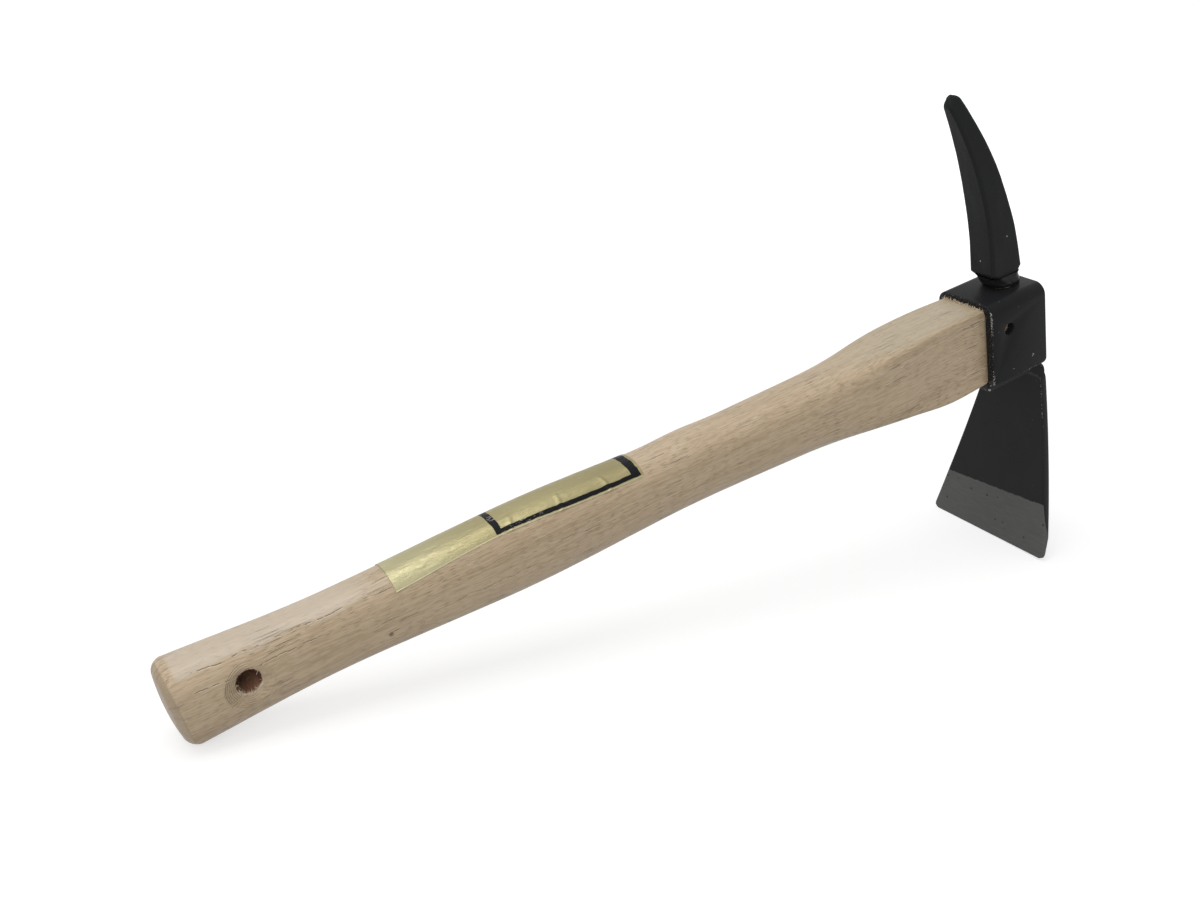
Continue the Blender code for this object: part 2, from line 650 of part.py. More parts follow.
def make_foil_label(collection, tool):
    """Foil that follows the handle's surface, over its top and down its near side."""
    bm = bmesh.new()
    bmesh.ops.create_grid(bm, x_segments=LABEL_COLUMNS, y_segments=LABEL_ROWS, size=0.5)
    for vert in bm.verts:
        along, up = vert.co.x + 0.5, vert.co.y + 0.5
        x = LABEL_FROM + (LABEL_TO - LABEL_FROM) * along
        low = smooth_through(LABEL_LOW_EDGE, along)
        angle = math.radians(low + (LABEL_HIGH_EDGE - low) * up)
        half_width, half_height, centre, exponent = handle_section(x)
        y, z = oval_point(half_width + GAP, half_height + GAP, exponent, angle)
        vert.co = Vector((x, y, centre + z))
    bm.normal_update()
    if sum(face.normal.z for face in bm.faces) < 0:
        bmesh.ops.reverse_faces(bm, faces=bm.faces)
    label = finish_object(bm, "foil_label", collection, tool, make_material("gold_foil"))
    add_solidify(label, LABEL_THICKNESS, 1.0)
    return label


# Standing the tool up

def lowest(objects, turn):
    graph = bpy.context.evaluated_depsgraph_get()
    heights = []
    for obj in objects:
        mesh = obj.evaluated_get(graph).to_mesh()
        heights += [(turn @ vert.co).z for vert in mesh.vertices]
    return min(heights)


def stand_up(tool, butt_piece, edge_piece, pieces):
    """Tips the tool until its butt and its blade edge are level, and centres it over the origin."""
    low, high = math.radians(-30.0), 0.0
    for _ in range(40):
        tilt = (low + high) / 2
        turn = Matrix.Rotation(tilt, 4, "Y")
        if lowest([butt_piece], turn) > lowest([edge_piece], turn):
            high = tilt
        else:
            low = tilt
    tool.rotation_euler = (0.0, tilt, 0.0)
    turn = Matrix.Rotation(tilt, 4, "Y")
    graph = bpy.context.evaluated_depsgraph_get()
    points = []
    for obj in pieces:
        points += [turn @ vert.co for vert in obj.evaluated_get(graph).to_mesh().vertices]
    across = [point.x for point in points]
    middle_x = (min(across) + max(across)) / 2
    tool.location = (-middle_x, 0.0, -min(point.z for point in points))
    bpy.context.view_layer.update()
    moved = [round(value / MM, 3) for value in tool.location]
    print(f"tilt {math.degrees(tilt):.3f} degrees, moved by {moved} mm")


def main():
    clear_scene()
    collection = make_collection("combination_hoe")
    cutters = make_collection("cutters", cutters=True)
    tool = bpy.data.objects.new("tool", None)
    collection.objects.link(tool)
    handle = make_handle(collection, cutters, tool)
    blade = make_hoe_blade(collection, cutters, tool)
    pieces = [handle, blade, make_eye_strap(collection, cutters, tool), make_pick(collection, tool)]
    pieces.append(make_pick_weld(collection, tool))
    pieces.append(make_eye_weld("eye_weld_near", -1, collection, tool))
    pieces.append(make_eye_weld("eye_weld_far", 1, collection, tool))
    pieces.append(make_wedge_solid("handle_wedge", collection, tool, material=make_material("wedge_steel")))
    pieces.append(make_foil_label(collection, tool))
    bpy.context.view_layer.update()
    stand_up(tool, handle, blade, pieces)


main()
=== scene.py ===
# Combination hoe on a beech handle: fine shapes and finishes of its pieces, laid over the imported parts.
import math
import random

import bmesh
import bpy
from mathutils import Matrix, Vector, noise


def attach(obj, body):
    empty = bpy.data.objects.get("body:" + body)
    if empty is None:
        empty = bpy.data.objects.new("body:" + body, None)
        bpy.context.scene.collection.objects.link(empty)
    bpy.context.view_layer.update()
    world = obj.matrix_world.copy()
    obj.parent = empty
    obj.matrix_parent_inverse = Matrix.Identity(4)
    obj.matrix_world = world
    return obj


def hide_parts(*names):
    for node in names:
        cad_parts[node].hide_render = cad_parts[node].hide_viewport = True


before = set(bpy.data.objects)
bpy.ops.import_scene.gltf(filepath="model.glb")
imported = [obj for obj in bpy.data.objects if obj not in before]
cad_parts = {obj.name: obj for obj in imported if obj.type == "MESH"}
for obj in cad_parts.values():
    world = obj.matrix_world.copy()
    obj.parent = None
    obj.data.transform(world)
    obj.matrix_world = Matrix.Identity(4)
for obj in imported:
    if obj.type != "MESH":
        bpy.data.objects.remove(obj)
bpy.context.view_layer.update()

print("packed parts loaded:", ", ".join(sorted(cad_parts)))

# The pieces are modelled in mm in the tool's own frame: X from the butt to the head, Z to the pick,
# and the origin on the handle's axis in the mouth of the eye.
stand = {"tilt": -13.747, "moved": (184.441, 0.0, 115.633)}  # degrees and mm, standing on the floor
mm = 0.001
toolTurn = Matrix.Rotation(math.radians(stand["tilt"]), 4, "Y")
toolPlace = Matrix.Translation(Vector(stand["moved"]) * mm) @ toolTurn @ Matrix.Scale(mm, 4)
touchGap = 0.3  # mm between pieces that touch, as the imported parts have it
rodLength = 60.0  # mm, so that a bored hole goes well past both sides of the tool


def clamp(value, low=0.0, high=1.0):
    return min(max(value, low), high)


def ease(value, low, high):
    t = clamp((value - low) / (high - low))
    return t * t * (3.0 - 2.0 * t)


def bump(value, middle, width):
    return math.exp(-(((value - middle) / width) ** 2))


def mix(one, two, share):
    return one + (two - one) * share


def smoothThrough(knots, x):  # a curve through the knots that never swings past them
    spans = [(b[1] - a[1]) / (b[0] - a[0]) for a, b in zip(knots, knots[1:])]
    slopes = [spans[0]]
    for one, two in zip(spans, spans[1:]):
        slopes.append(0.0 if one * two <= 0.0 else 2.0 * one * two / (one + two))
    slopes.append(spans[-1])
    x = clamp(x, knots[0][0], knots[-1][0])
    i = max(k for k in range(len(spans)) if k == 0 or knots[k][0] <= x)
    width = knots[i + 1][0] - knots[i][0]
    t = (x - knots[i][0]) / width
    start = (1 + 2 * t) * (1 - t) ** 2 * knots[i][1] + t * (1 - t) ** 2 * width * slopes[i]
    return start + t * t * (3 - 2 * t) * knots[i + 1][1] + t * t * (t - 1) * width * slopes[i + 1]


def throughRows(rows, x):  # a smooth curve for each column of a table whose first column is x
    return [smoothThrough([(row[0], row[k]) for row in rows], x) for k in range(1, len(rows[0]))]


def wrapGrid(around, along, pointAt):  # a grid rolled up and closed by pointAt(u, v), both from 0 to 1
    bm = bmesh.new()
    bmesh.ops.create_grid(bm, x_segments=around, y_segments=along, size=0.5)
    for vert in bm.verts:
        vert.co = pointAt(vert.co.x + 0.5, vert.co.y + 0.5)
    bmesh.ops.remove_doubles(bm, verts=bm.verts, dist=0.0005)
    rims = [edge for edge in bm.edges if edge.is_boundary]
    if rims:
        bmesh.ops.holes_fill(bm, edges=rims, sides=0)
    bmesh.ops.recalc_face_normals(bm, faces=bm.faces)
    return bm


def makeBox(size, middle):
    bm = bmesh.new()
    bmesh.ops.create_cube(bm, size=1.0)
    bmesh.ops.scale(bm, vec=size, verts=bm.verts)
    bmesh.ops.translate(bm, vec=middle, verts=bm.verts)
    return bm


def crossRod(x, z, diameter, sides=48):  # a round bar across the tool
    bm = bmesh.new()
    across = Matrix.Translation((x, 0.0, z)) @ Matrix.Rotation(math.radians(90.0), 4, "X")
    size = {"radius1": diameter / 2, "radius2": diameter / 2, "depth": rodLength}
    bmesh.ops.create_cone(bm, cap_ends=True, segments=sides, matrix=across, **size)
    return bm


def cutAway(bm, cutter):  # cuts one closed bmesh out of another, both in the tool's frame
    meshes = [bpy.data.meshes.new(name) for name in ("body", "cutter")]
    for source, mesh in zip((bm, cutter), meshes):
        source.to_mesh(mesh)
        source.free()
    body, tool = [bpy.data.objects.new(mesh.name, mesh) for mesh in meshes]
    for obj in (body, tool):
        bpy.context.scene.collection.objects.link(obj)
    cut = body.modifiers.new("cut", "BOOLEAN")
    cut.object = tool
    cut.solver = "EXACT"
    result = bmesh.new()
    result.from_object(body, bpy.context.evaluated_depsgraph_get())
    for obj in (body, tool):
        bpy.data.objects.remove(obj)
    for mesh in meshes:
        bpy.data.meshes.remove(mesh)
    return result


def finishPiece(bm, name, material, nodes, sharp=38.0):
    bmesh.ops.transform(bm, matrix=toolPlace, verts=bm.verts)
    if bm.calc_volume(signed=True) < 0:
        bmesh.ops.reverse_faces(bm, faces=bm.faces)
    mesh = bpy.data.meshes.new(name)
    bm.to_mesh(mesh)
    bm.free()
    mesh.shade_smooth()
    mesh.set_sharp_from_angle(angle=math.radians(sharp))
    mesh.materials.append(material)
    piece = bpy.data.objects.new(name, mesh)
    bpy.context.scene.collection.objects.link(piece)
    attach(piece, "root")
    if nodes:
        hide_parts(*nodes)
    return piece


# Materials: every pattern reads the place of a point in the tool's frame, in mm

class Graph:  # short calls for a node tree
    def __init__(self, tree):
        self.tree = tree

    def feed(self, socket, value):
        if isinstance(value, bpy.types.NodeSocket):
            self.tree.links.new(value, socket)
        elif value is not None:
            socket.default_value = value

    def fill(self, node, inputs):
        for name, value in inputs.items():
            self.feed(node.inputs[name], value)

    def node(self, kind, inputs=None, **settings):
        node = self.tree.nodes.new("ShaderNode" + kind)
        for name, value in settings.items():
            setattr(node, name, value)
        self.fill(node, inputs or {})
        return node

    def math(self, operation, one, two=None, limit=False):
        return self.node("Math", {0: one, 1: two}, operation=operation, use_clamp=limit).outputs[0]

    def chain(self, operation, values):
        result = values[0]
        for value in values[1:]:
            result = self.math(operation, result, value)
        return result

    def product(self, *values):
        return self.chain("MULTIPLY", values)

    def total(self, *values):
        return self.chain("ADD", values)

    def most(self, *values):
        return self.chain("MAXIMUM", values)

    def stretch(self, vector, scale, shift=(0.0, 0.0, 0.0)):
        return self.node("Mapping", {"Vector": vector, "Scale": scale, "Location": shift}).outputs["Vector"]

    def noise(self, vector, scale, detail=2.0, rough=0.5, distortion=0.0, output="Fac"):
        if isinstance(scale, tuple):  # a scale for each axis
            vector, scale = self.stretch(vector, scale), 1.0
        inputs = {"Vector": vector, "Scale": scale, "Detail": detail, "Roughness": rough}
        return self.node("TexNoise", inputs | {"Distortion": distortion}).outputs[output]

    def cells(self, vector, scale, kind="3D"):  # distance to the nearest seed, and that seed's chance
        outputs = self.node("TexVoronoi", {"Vector": vector, "Scale": scale}, voronoi_dimensions=kind).outputs
        return outputs["Distance"], self.split(outputs["Color"])[0]

    def spread(self, value, low, high, toLow=0.0, toHigh=1.0, way="SMOOTHSTEP"):  # a range to another range
        numbers = dict(enumerate((value, low, high, toLow, toHigh)))
        return self.node("MapRange", numbers, interpolation_type=way).outputs["Result"]

    def varied(self, vector, scale, low, high, detail=3.0):  # noise between two values
        return self.spread(self.noise(vector, scale, detail), 0.3, 0.7, low, high)

    def blend(self, share, one, two):
        return self.node("Mix", {"Factor": share, "A": one, "B": two}, data_type="RGBA").outputs["Result"]

    def coats(self, colour, *coats):  # lays one colour after another over the first, each by its share
        for share, coat in coats:
            colour = self.blend(share, colour, coat)
        return colour

    def split(self, vector):
        outputs = self.node("SeparateXYZ", {0: vector}).outputs
        return outputs[0], outputs[1], outputs[2]

    def shifted(self, vector, drift, size):  # moves a place by a centred noise colour
        centred = self.node("VectorMath", {0: drift, 1: (0.5, 0.5, 0.5)}, operation="SUBTRACT").outputs[0]
        return self.node("VectorMath", {0: centred, 1: size, 2: vector}, operation="MULTIPLY_ADD").outputs[0]

    def near(self, value, middle, width):  # 1 at the middle, and 0 a width away from it
        return self.spread(self.math("ABSOLUTE", self.math("SUBTRACT", value, middle)), width, 0.0)

    def attribute(self, name):
        return self.node("Attribute", attribute_name=name).outputs["Fac"]

    def distance(self, vector, point, scale=None):  # a scale of 0 along an axis makes the point a line
        if scale:
            vector = self.stretch(vector, scale)
        return self.node("VectorMath", {0: vector, 1: point}, operation="DISTANCE").outputs["Value"]

    def spots(self, vector, marks):  # 1 at each place, fading out over its size
        return self.most(*[self.spread(self.distance(vector, at), size, size * 0.4) for at, size in marks])

    def around(self, vector):  # x, and the way round the handle's axis in radians, up from the near side
        x, y, z = self.split(vector)
        return x, self.math("ARCTAN2", z, self.product(y, -1.0))

    def relief(self, height, strength, depth):
        inputs = {"Strength": strength, "Distance": depth, "Height": height}
        return self.node("Bump", inputs).outputs["Normal"]


def newMaterial(name, settings):
    material = bpy.data.materials.new(name)
    material.use_nodes = True
    material.node_tree.nodes.clear()
    g = Graph(material.node_tree)
    shader = g.node("BsdfPrincipled", settings)
    g.node("OutputMaterial", {"Surface": shader.outputs["BSDF"]})
    toolFrame = {
        "Vector": g.node("TexCoord").outputs["Object"], "Location": Vector(stand["moved"]) * mm,
        "Rotation": (0.0, math.radians(stand["tilt"]), 0.0), "Scale": (mm, mm, mm),
    }
    return material, g, shader, g.node("Mapping", toolFrame, vector_type="TEXTURE").outputs["Vector"]


def newGroup(name, inputs, outputs):
    tree = bpy.data.node_groups.new(name, "ShaderNodeTree")
    kinds = {"value": "NodeSocketFloat", "colour": "NodeSocketColor", "vector": "NodeSocketVector"}
    for label, kind, value in inputs:
        socket = tree.interface.new_socket(label, in_out="INPUT", socket_type=kinds[kind])
        if value is not None:
            socket.default_value = value
    for label, kind in outputs:
        tree.interface.new_socket(label, in_out="OUTPUT", socket_type=kinds[kind])
    return Graph(tree), tree.nodes.new("NodeGroupInput").outputs, tree.nodes.new("NodeGroupOutput")


def placeGroup(g, group, **inputs):
    return g.node("Group", inputs, node_tree=group).outputs


# Shared effect: beech grain along X, with fine streaks, open pores, and torn slits that have a pale lip

skinRadius = 17.0  # mm from the handle's axis, where its skin is rolled out flat


def makeBeechGrain():
    inputs = [("Place", "vector", None), ("Flecks", "value", 0.55), ("Slits", "value", 0.75),
              ("Pale", "colour", (0.505, 0.392, 0.262, 1)), ("Deep", "colour", (0.330, 0.238, 0.140, 1))]
    outputs = [("Colour", "colour"), ("Height", "value"), ("Gloss", "value")]
    tones = {
        "fleck": (0.150, 0.098, 0.060, 1), "lip": (0.680, 0.580, 0.440, 1), "slit": (0.145, 0.080, 0.040, 1),
    }
    g, source, end = newGroup("beechGrain", inputs, outputs)
    drift = g.noise(source["Place"], (0.012, 0.04, 0.04), output="Color")
    place = g.shifted(source["Place"], drift, (0.0, 5.0, 5.0))
    along, turn = g.around(place)
    skin = g.node("CombineXYZ", {0: along, 1: g.product(turn, skinRadius)}).outputs[0]
    clouds = g.noise(place, (0.006, 0.10, 0.10))
    bands = g.noise(place, (0.014, 0.55, 0.55))
    streaks = g.noise(place, (0.045, 1.9, 1.9), rough=0.55)
    fibre = g.noise(place, (0.12, 1.7, 1.7), rough=0.6)
    patches = g.noise(g.stretch(place, (0.030, 0.11, 0.11), (9.0, 2.0, 5.0)), 1.0)
    pores, poreChance = g.cells(g.stretch(skin, (0.16, 1.5, 1.0), (3.0, 8.0, 0.0)), 1.0, "2D")
    often = g.spread(patches, 0.34, 0.60, 0.45, 1.0)
    dash = g.product(g.spread(pores, 0.25, 0.12), g.spread(poreChance, 0.30, 0.60), often)
    tears, tearChance = g.cells(g.stretch(skin, (0.022, 0.60, 1.0), (5.0, 1.0, 0.0)), 1.0, "2D")
    torn = g.product(g.spread(tearChance, 0.58, 0.74), g.spread(patches, 0.36, 0.50))
    ragged = g.total(tears, g.spread(fibre, 0.3, 0.7, -0.045, 0.045))
    slit = g.product(g.spread(ragged, 0.095, 0.055), torn)
    lip = g.product(g.near(ragged, 0.150, 0.065), torn)
    share = g.total(
        g.spread(clouds, 0.30, 0.70, 0.12, 0.50), g.spread(bands, 0.30, 0.70, -0.13, 0.13),
        g.spread(streaks, 0.30, 0.70, -0.20, 0.20))
    share = g.math("ADD", share, g.spread(fibre, 0.34, 0.66, -0.27, 0.27), True)
    height = g.total(g.product(streaks, 0.35), g.product(fibre, 0.25))
    height = g.math("SUBTRACT", height, g.product(dash, 0.35))
    height = g.math("SUBTRACT", height, g.product(slit, 1.3))
    g.fill(end, {
        "Colour": g.coats(
            source["Pale"], (share, source["Deep"]), (g.product(dash, source["Flecks"]), tones["fleck"]),
            (g.product(lip, source["Slits"], 0.7), tones["lip"]),
            (g.product(slit, source["Slits"]), tones["slit"])),
        "Height": g.total(height, g.product(lip, 0.8)),
        "Gloss": g.spread(streaks, 0.3, 0.7, 0.36, 0.48),
    })
    return g.tree


# Shared effect: satin black paint, with an uneven coat, dust specks, scuffs, and bare steel where it is worn,
# which also lays the head's painted edge highlights and glints

def makeWornPaintAndHighlights():
    inputs = [("Place", "vector", None), ("Wear", "value", 0.0), ("Specks", "value", 0.6),
              ("Scuffs", "value", 0.4), ("Coat", "colour", (0.0135, 0.0140, 0.0150, 1)),
              ("BareAndHighlight", "colour", (0.30, 0.29, 0.27, 1))]
    outputs = [("Colour", "colour"), ("Roughness", "value"), ("Metal", "value"), ("Height", "value")]
    tones = {
        "thin": (0.0165, 0.0168, 0.0172, 1), "scuff": (0.045, 0.046, 0.046, 1),
        "speck": (0.17, 0.165, 0.15, 1),
    }
    g, source, end = newGroup("wornPaintAndHighlights", inputs, outputs)
    place = source["Place"]
    clouds = g.noise(place, 0.055, 3.0, 0.55)
    coat = g.noise(place, 0.9, 3.0, 0.55)
    grit = g.noise(place, 4.0, 2.0, 0.6)
    ragged = g.noise(place, 1.5, 4.0, 0.65)
    # the wear share also carries painted edge highlights and glints, laid on as bare steel
    wornAndHighlit = g.total(source["Wear"], g.spread(ragged, 0.30, 0.70, -0.45, 0.25))
    wornAndHighlit = g.product(g.spread(wornAndHighlit, 0.45, 0.62), g.spread(source["Wear"], 0.05, 0.2))
    dots, dotChance = g.cells(place, 0.22)
    speck = g.product(g.spread(dots, 0.085, 0.050), g.spread(dotChance, 0.80, 0.82))
    fine, fineChance = g.cells(place, 1.1)
    dust = g.product(g.spread(fine, 0.17, 0.10), g.spread(fineChance, 0.90, 0.92))
    strokes = g.noise(g.stretch(place, (0.30, 0.30, 1.3), (4.0, 6.0, 1.0)), 1.0, 4.0, 0.7)
    scuff = g.spread(strokes, 0.68, 0.76)
    marks = g.product(g.math("ADD", speck, g.product(dust, 0.5), True), source["Specks"])
    height = g.total(g.product(coat, 0.8), g.product(grit, 0.16), g.product(marks, 0.9))
    rough = g.total(g.spread(coat, 0.3, 0.7, 0.26, 0.34), g.spread(clouds, 0.3, 0.7, 0.0, 0.07))
    g.fill(end, {
        "Colour": g.coats(
            source["Coat"], (g.spread(clouds, 0.35, 0.70, 0.0, 0.5), tones["thin"]),
            (g.product(scuff, source["Scuffs"]), tones["scuff"]), (marks, tones["speck"]),
            (wornAndHighlit, source["BareAndHighlight"])),
        "Roughness": g.total(rough, g.product(scuff, 0.12)),
        "Metal": g.product(wornAndHighlit, 0.45),
        "Height": g.math("SUBTRACT", height, g.product(wornAndHighlit, 0.5)),
    })
    return g.tree


beechGrain = makeBeechGrain()
wornPaintAndHighlights = makeWornPaintAndHighlights()
print("shared effects ready")


# Handle: beech, square where it enters the eye and oval in the grip

handle = {
    # distance from the eye, height above the axis, depth below it, half width, all in mm
    "stations": (
        (0.0, 19.0, 21.3, 13.8), (22.0, 19.5, 22.3, 14.3), (50.0, 18.9, 19.8, 15.0),
        (80.0, 17.9, 18.8, 14.9), (112.0, 17.9, 17.6, 14.2), (175.0, 17.3, 16.1, 13.4),
        (255.0, 19.6, 18.0, 14.7), (350.0, 17.8, 15.4, 13.1), (413.5, 20.6, 18.1, 15.0),
    ),
    "length": 418.7,
    "roundness": 2.5, "squareness": 42.0, "squareFade": 42.0, "cornerCrowding": 0.2,
    "topSwell": 1.2, "topSwellAt": -171.0, "topSwellLength": 15.0,
    # the butt's edge: length, inset and roundness, first at the sides, then above and below
    "buttEdge": ((3.4, 4.4, 0.2), (7.0, 5.4, 1.0)), "buttDome": 1.1, "buttOut": 0.3,
    "buttLean": 0.06, "leanFrom": -389.0, "buttFrom": -414.0,
    "sides": 192, "rings": 230, "ringsAtHole": 60, "unevenness": 0.12,
    "tenonHalfWidth": 13.7, "tenonTop": 17.2, "tenonBottom": -21.1, "tenonLength": 35.9,
    "tenonSquareness": 44.5, "tenonArris": 0.8,
    "holeX": -387.4, "holeZ": 4.0, "holeDiameter": 10.2,
    "dishDiameter": 21.0, "dishFloor": 7.0, "dishDepth": 2.2, "dishDrop": 1.4, "dishCurve": 1.25,
    "dishTearing": 0.28, "dishReach": 12.0, "kerfHeight": 26.6, "kerfWidth": 3.4, "kerfDepth": 17.3,
}
tenonMiddle = (handle["tenonTop"] + handle["tenonBottom"]) / 2


def handleSection(x):  # half width, half height, centre height, squareness at x
    top, low, half = throughRows(handle["stations"], -x)
    top += handle["topSwell"] * bump(x, handle["topSwellAt"], handle["topSwellLength"])
    squareness = handle["roundness"] + handle["squareness"] * bump(min(x, 0.0), 0.0, handle["squareFade"])
    return half, (top + low) / 2, (top - low) / 2, squareness


def ovalPoint(half, tall, squareness, turn):  # turn from 0 to 1, up from the near side, closer at the corners
    angle = 2 * math.pi * turn
    angle += handle["cornerCrowding"] * math.sin(4 * angle)
    c, s = math.cos(angle), math.sin(angle)
    reach = (abs(c) ** squareness + abs(s) ** squareness) ** (-1.0 / squareness)
    return -half * reach * c, tall * reach * s


def handlePoint(x, turn, inset):
    half, tall, centre, squareness = handleSection(x)
    y, z = ovalPoint(half - inset, tall - inset, squareness, turn)
    return Vector((x, y, centre + z))


def buttEdge(turn):  # crisp at the sides, softened above and below
    soft = abs(math.sin(2 * math.pi * turn)) ** 3.0
    return [mix(one, two, soft) for one, two in zip(*handle["buttEdge"])]


def handleStops():  # the rings from the middle of the butt to the tenon's end, as a part and a share of it
    dishFrom, dishTo = [handle["holeX"] + side * handle["dishReach"] for side in (-1, 1)]
    stops = [("face", k / 8) for k in range(9)] + [("edge", k / 10) for k in range(1, 11)]
    stops += [("start", k / 12) for k in range(1, 13)]
    spans = (dishFrom, dishTo, handle["ringsAtHole"]), (dishTo, -touchGap, handle["rings"])
    for start, end, count in spans:
        stops += [("side", mix(start, end, k / count)) for k in range(1, count + 1)]
    reach = handle["tenonLength"]
    return stops + [("tenon", x) for x in (-touchGap, reach - handle["tenonArris"], reach, reach)]


def makeHandleSkin():
    stops = handleStops()
    dishFrom = handle["holeX"] - handle["dishReach"]
    rim = handle["buttDome"] - handle["buttOut"] - handle["length"]

    def tenonPoint(turn, x, last):  # the end has an arris, and its last ring closes on its middle
        inset = handle["tenonArris"] if x == handle["tenonLength"] else 0.0
        size = 0.0 if last else 1.0
        half, tall = handle["tenonHalfWidth"] - inset, handle["tenonTop"] - tenonMiddle - inset
        y, z = ovalPoint(half, tall, handle["tenonSquareness"], turn)
        return Vector((x, y * size, z * size + tenonMiddle))

    def skin(u, v):
        index = round(v * (len(stops) - 1))
        part, share = stops[index]
        if part == "tenon":
            return tenonPoint(u, share, index == len(stops) - 1)
        length, inset, roundness = buttEdge(u)
        arris = length - handle["length"]
        size = 1.0
        if part == "face":
            x, size = rim - handle["buttDome"] * (1.0 - share * share), share
        elif part == "edge":
            angle = math.radians(90.0) * share
            x = mix(rim, arris, mix(share, 1.0 - math.cos(angle), roundness))
            inset *= 1.0 - mix(share, math.sin(angle), roundness)
        else:
            x = mix(arris, dishFrom, share) if part == "start" else share
            inset = 0.0
        point = handlePoint(max(x, arris), u, inset)
        point.y *= size
        point.z *= size
        point.x = x - handle["buttLean"] * point.z * (1.0 - ease(x, handle["buttFrom"], handle["leanFrom"]))
        return point

    return wrapGrid(handle["sides"], len(stops) - 1, skin)


def dishDepth(reach):  # at a distance from the middle of the dish
    rim, floor = handle["dishDiameter"] / 2, handle["dishFloor"] / 2
    return handle["dishDepth"] * (1.0 - clamp((reach - floor) / (rim - floor)) ** handle["dishCurve"])


def handleRelief(point):  # hand-shaped unevenness, and the shallow dish round the hanging hole
    wave = noise.noise(Vector((point.x * 0.018, point.y * 0.09, point.z * 0.09)))
    wave += 0.35 * noise.noise(Vector((point.x * 0.09, point.y * 0.22, point.z * 0.22 + 7.0)))
    out = Vector((0.0, point.y, point.z))
    if out.length > 0.01 and handle["buttFrom"] < point.x < -1.0:
        point += out.normalized() * handle["unevenness"] * wave
    reach = math.hypot(point.x - handle["holeX"], point.z - handle["holeZ"] + handle["dishDrop"])
    if point.y < 0.0 and reach < handle["dishDiameter"] / 2:
        torn = ease(point.x - handle["holeX"] + 0.6 * point.z, 0.0, 6.0)
        tearing = handle["dishTearing"] * torn * noise.noise(Vector((point.x * 0.25, 3.0, point.z * 1.3)))
        point.y = max(point.y, dishDepth(reach) + tearing - handleSection(handle["holeX"])[0])
    return point


def makeHandle():
    bm = makeHandleSkin()
    for vert in bm.verts:
        vert.co = handleRelief(vert.co)
    rod = crossRod(handle["holeX"], handle["holeZ"], handle["holeDiameter"])
    for vert in rod.verts:  # a hand-bored hole, a little out of round
        away = Vector((vert.co.x - handle["holeX"], 0.0, vert.co.z - handle["holeZ"]))
        vert.co += away * (0.03 * noise.noise(away * 0.35) + 0.012 * noise.noise(away * 1.2))
    kerf = Vector((handle["kerfDepth"] + 10.0, handle["kerfWidth"], handle["kerfHeight"]))
    middle = Vector((handle["tenonLength"] - handle["kerfDepth"] + kerf.x / 2, 0.0, tenonMiddle))
    return cutAway(cutAway(bm, rod), makeBox(kerf, middle))


# Beech finish: the group's grain, cracks, a darker butt, turned rings in the dish, a scorched hanging hole,
# and painted light: a sheen and a greyer shade on the top, a highlight on the dish's lower rim, and a paler
# lower wall in the hole

wood = {
    # the first two colours are painted light: a sheen along the top near the butt, and a greyer shade on the
    # top by the eye
    "paintedSheen": (0.545, 0.475, 0.385, 1), "paintedTopShade": (0.325, 0.306, 0.228, 1),
    "endGrain": (0.315, 0.236, 0.150, 1), "shoulder": (0.30, 0.21, 0.13, 1),
    "lip": (0.68, 0.59, 0.45, 1), "crack": (0.135, 0.072, 0.036, 1), "fleck": (0.13, 0.05, 0.03, 1),
    "dish": (0.33, 0.24, 0.15, 1), "dishRimHighlight": (0.60, 0.50, 0.36, 1), "chip": (0.66, 0.57, 0.44, 1),
    "charred": (0.070, 0.024, 0.012, 1), "scorched": (0.15, 0.062, 0.033, 1),
    "boreFloorLight": (0.27, 0.13, 0.072, 1), "boreEdge": (0.045, 0.016, 0.008, 1),
    # way round the skin from the near side, and both ends along the handle
    "cracks": ((17.4, -408.0, -340.0), (10.6, -411.0, -352.0), (-3.0, -300.0, -255.0)),
    "crackHalf": 0.26, "lipAt": -0.44, "lipHalf": 0.36, "crackDrift": 0.7,
    "fleckAt": (-328.0, -13.3, -4.4), "fleckSize": 1.5,
    "sheenEnd": -413.5, "endGrainAt": -414.6, "rimReach": 10.3, "holeReach": 5.2, "turnings": 7.5,
    "relief": (0.6, 0.0004),  # strength, and depth in metres, as for every relief here
}


def paintedTopLightBands(g, place):  # shares of the painted sheen along the top near the butt, and of the painted greyer shade on the top by the eye
    x, turn = g.around(place)
    upward = g.total(turn, g.varied(place, (0.05, 0.3, 0.3), -0.10, 0.10))
    top = g.product(g.spread(upward, 0.95, 1.12), g.spread(upward, 2.2, 1.5, 0.4, 1.0))
    ends = g.spread(x, wood["sheenEnd"], wood["sheenEnd"] + 2.0)
    paintedSheen = g.product(top, g.spread(x, -345.0, -318.0, 0.62, 0.08), ends)
    return paintedSheen, g.product(g.spread(upward, 0.8, 1.1), g.spread(x, -110.0, -40.0), 0.34)


def crackLines(g, place):  # shares of the cracks along the grain, and of the raised lip beside each
    x, turn = g.around(place)
    arc = g.product(turn, skinRadius)
    drift = g.varied(place, (0.09, 0.0, 0.0), -wood["crackDrift"], wood["crackDrift"])
    broken = g.spread(g.noise(place, (0.30, 0.6, 0.6)), 0.44, 0.52)
    cracks, lips = [], []
    for at, fromX, toX in wood["cracks"]:
        away = g.math("SUBTRACT", arc, g.total(drift, at))
        part = g.product(broken, g.spread(x, fromX, fromX + 4.0), g.spread(x, toX, toX - 6.0))
        cracks.append(g.product(g.near(away, 0.0, wood["crackHalf"]), part))
        lips.append(g.product(g.near(away, wood["lipAt"], wood["lipHalf"]), part))
    return g.most(*cracks), g.most(*lips)


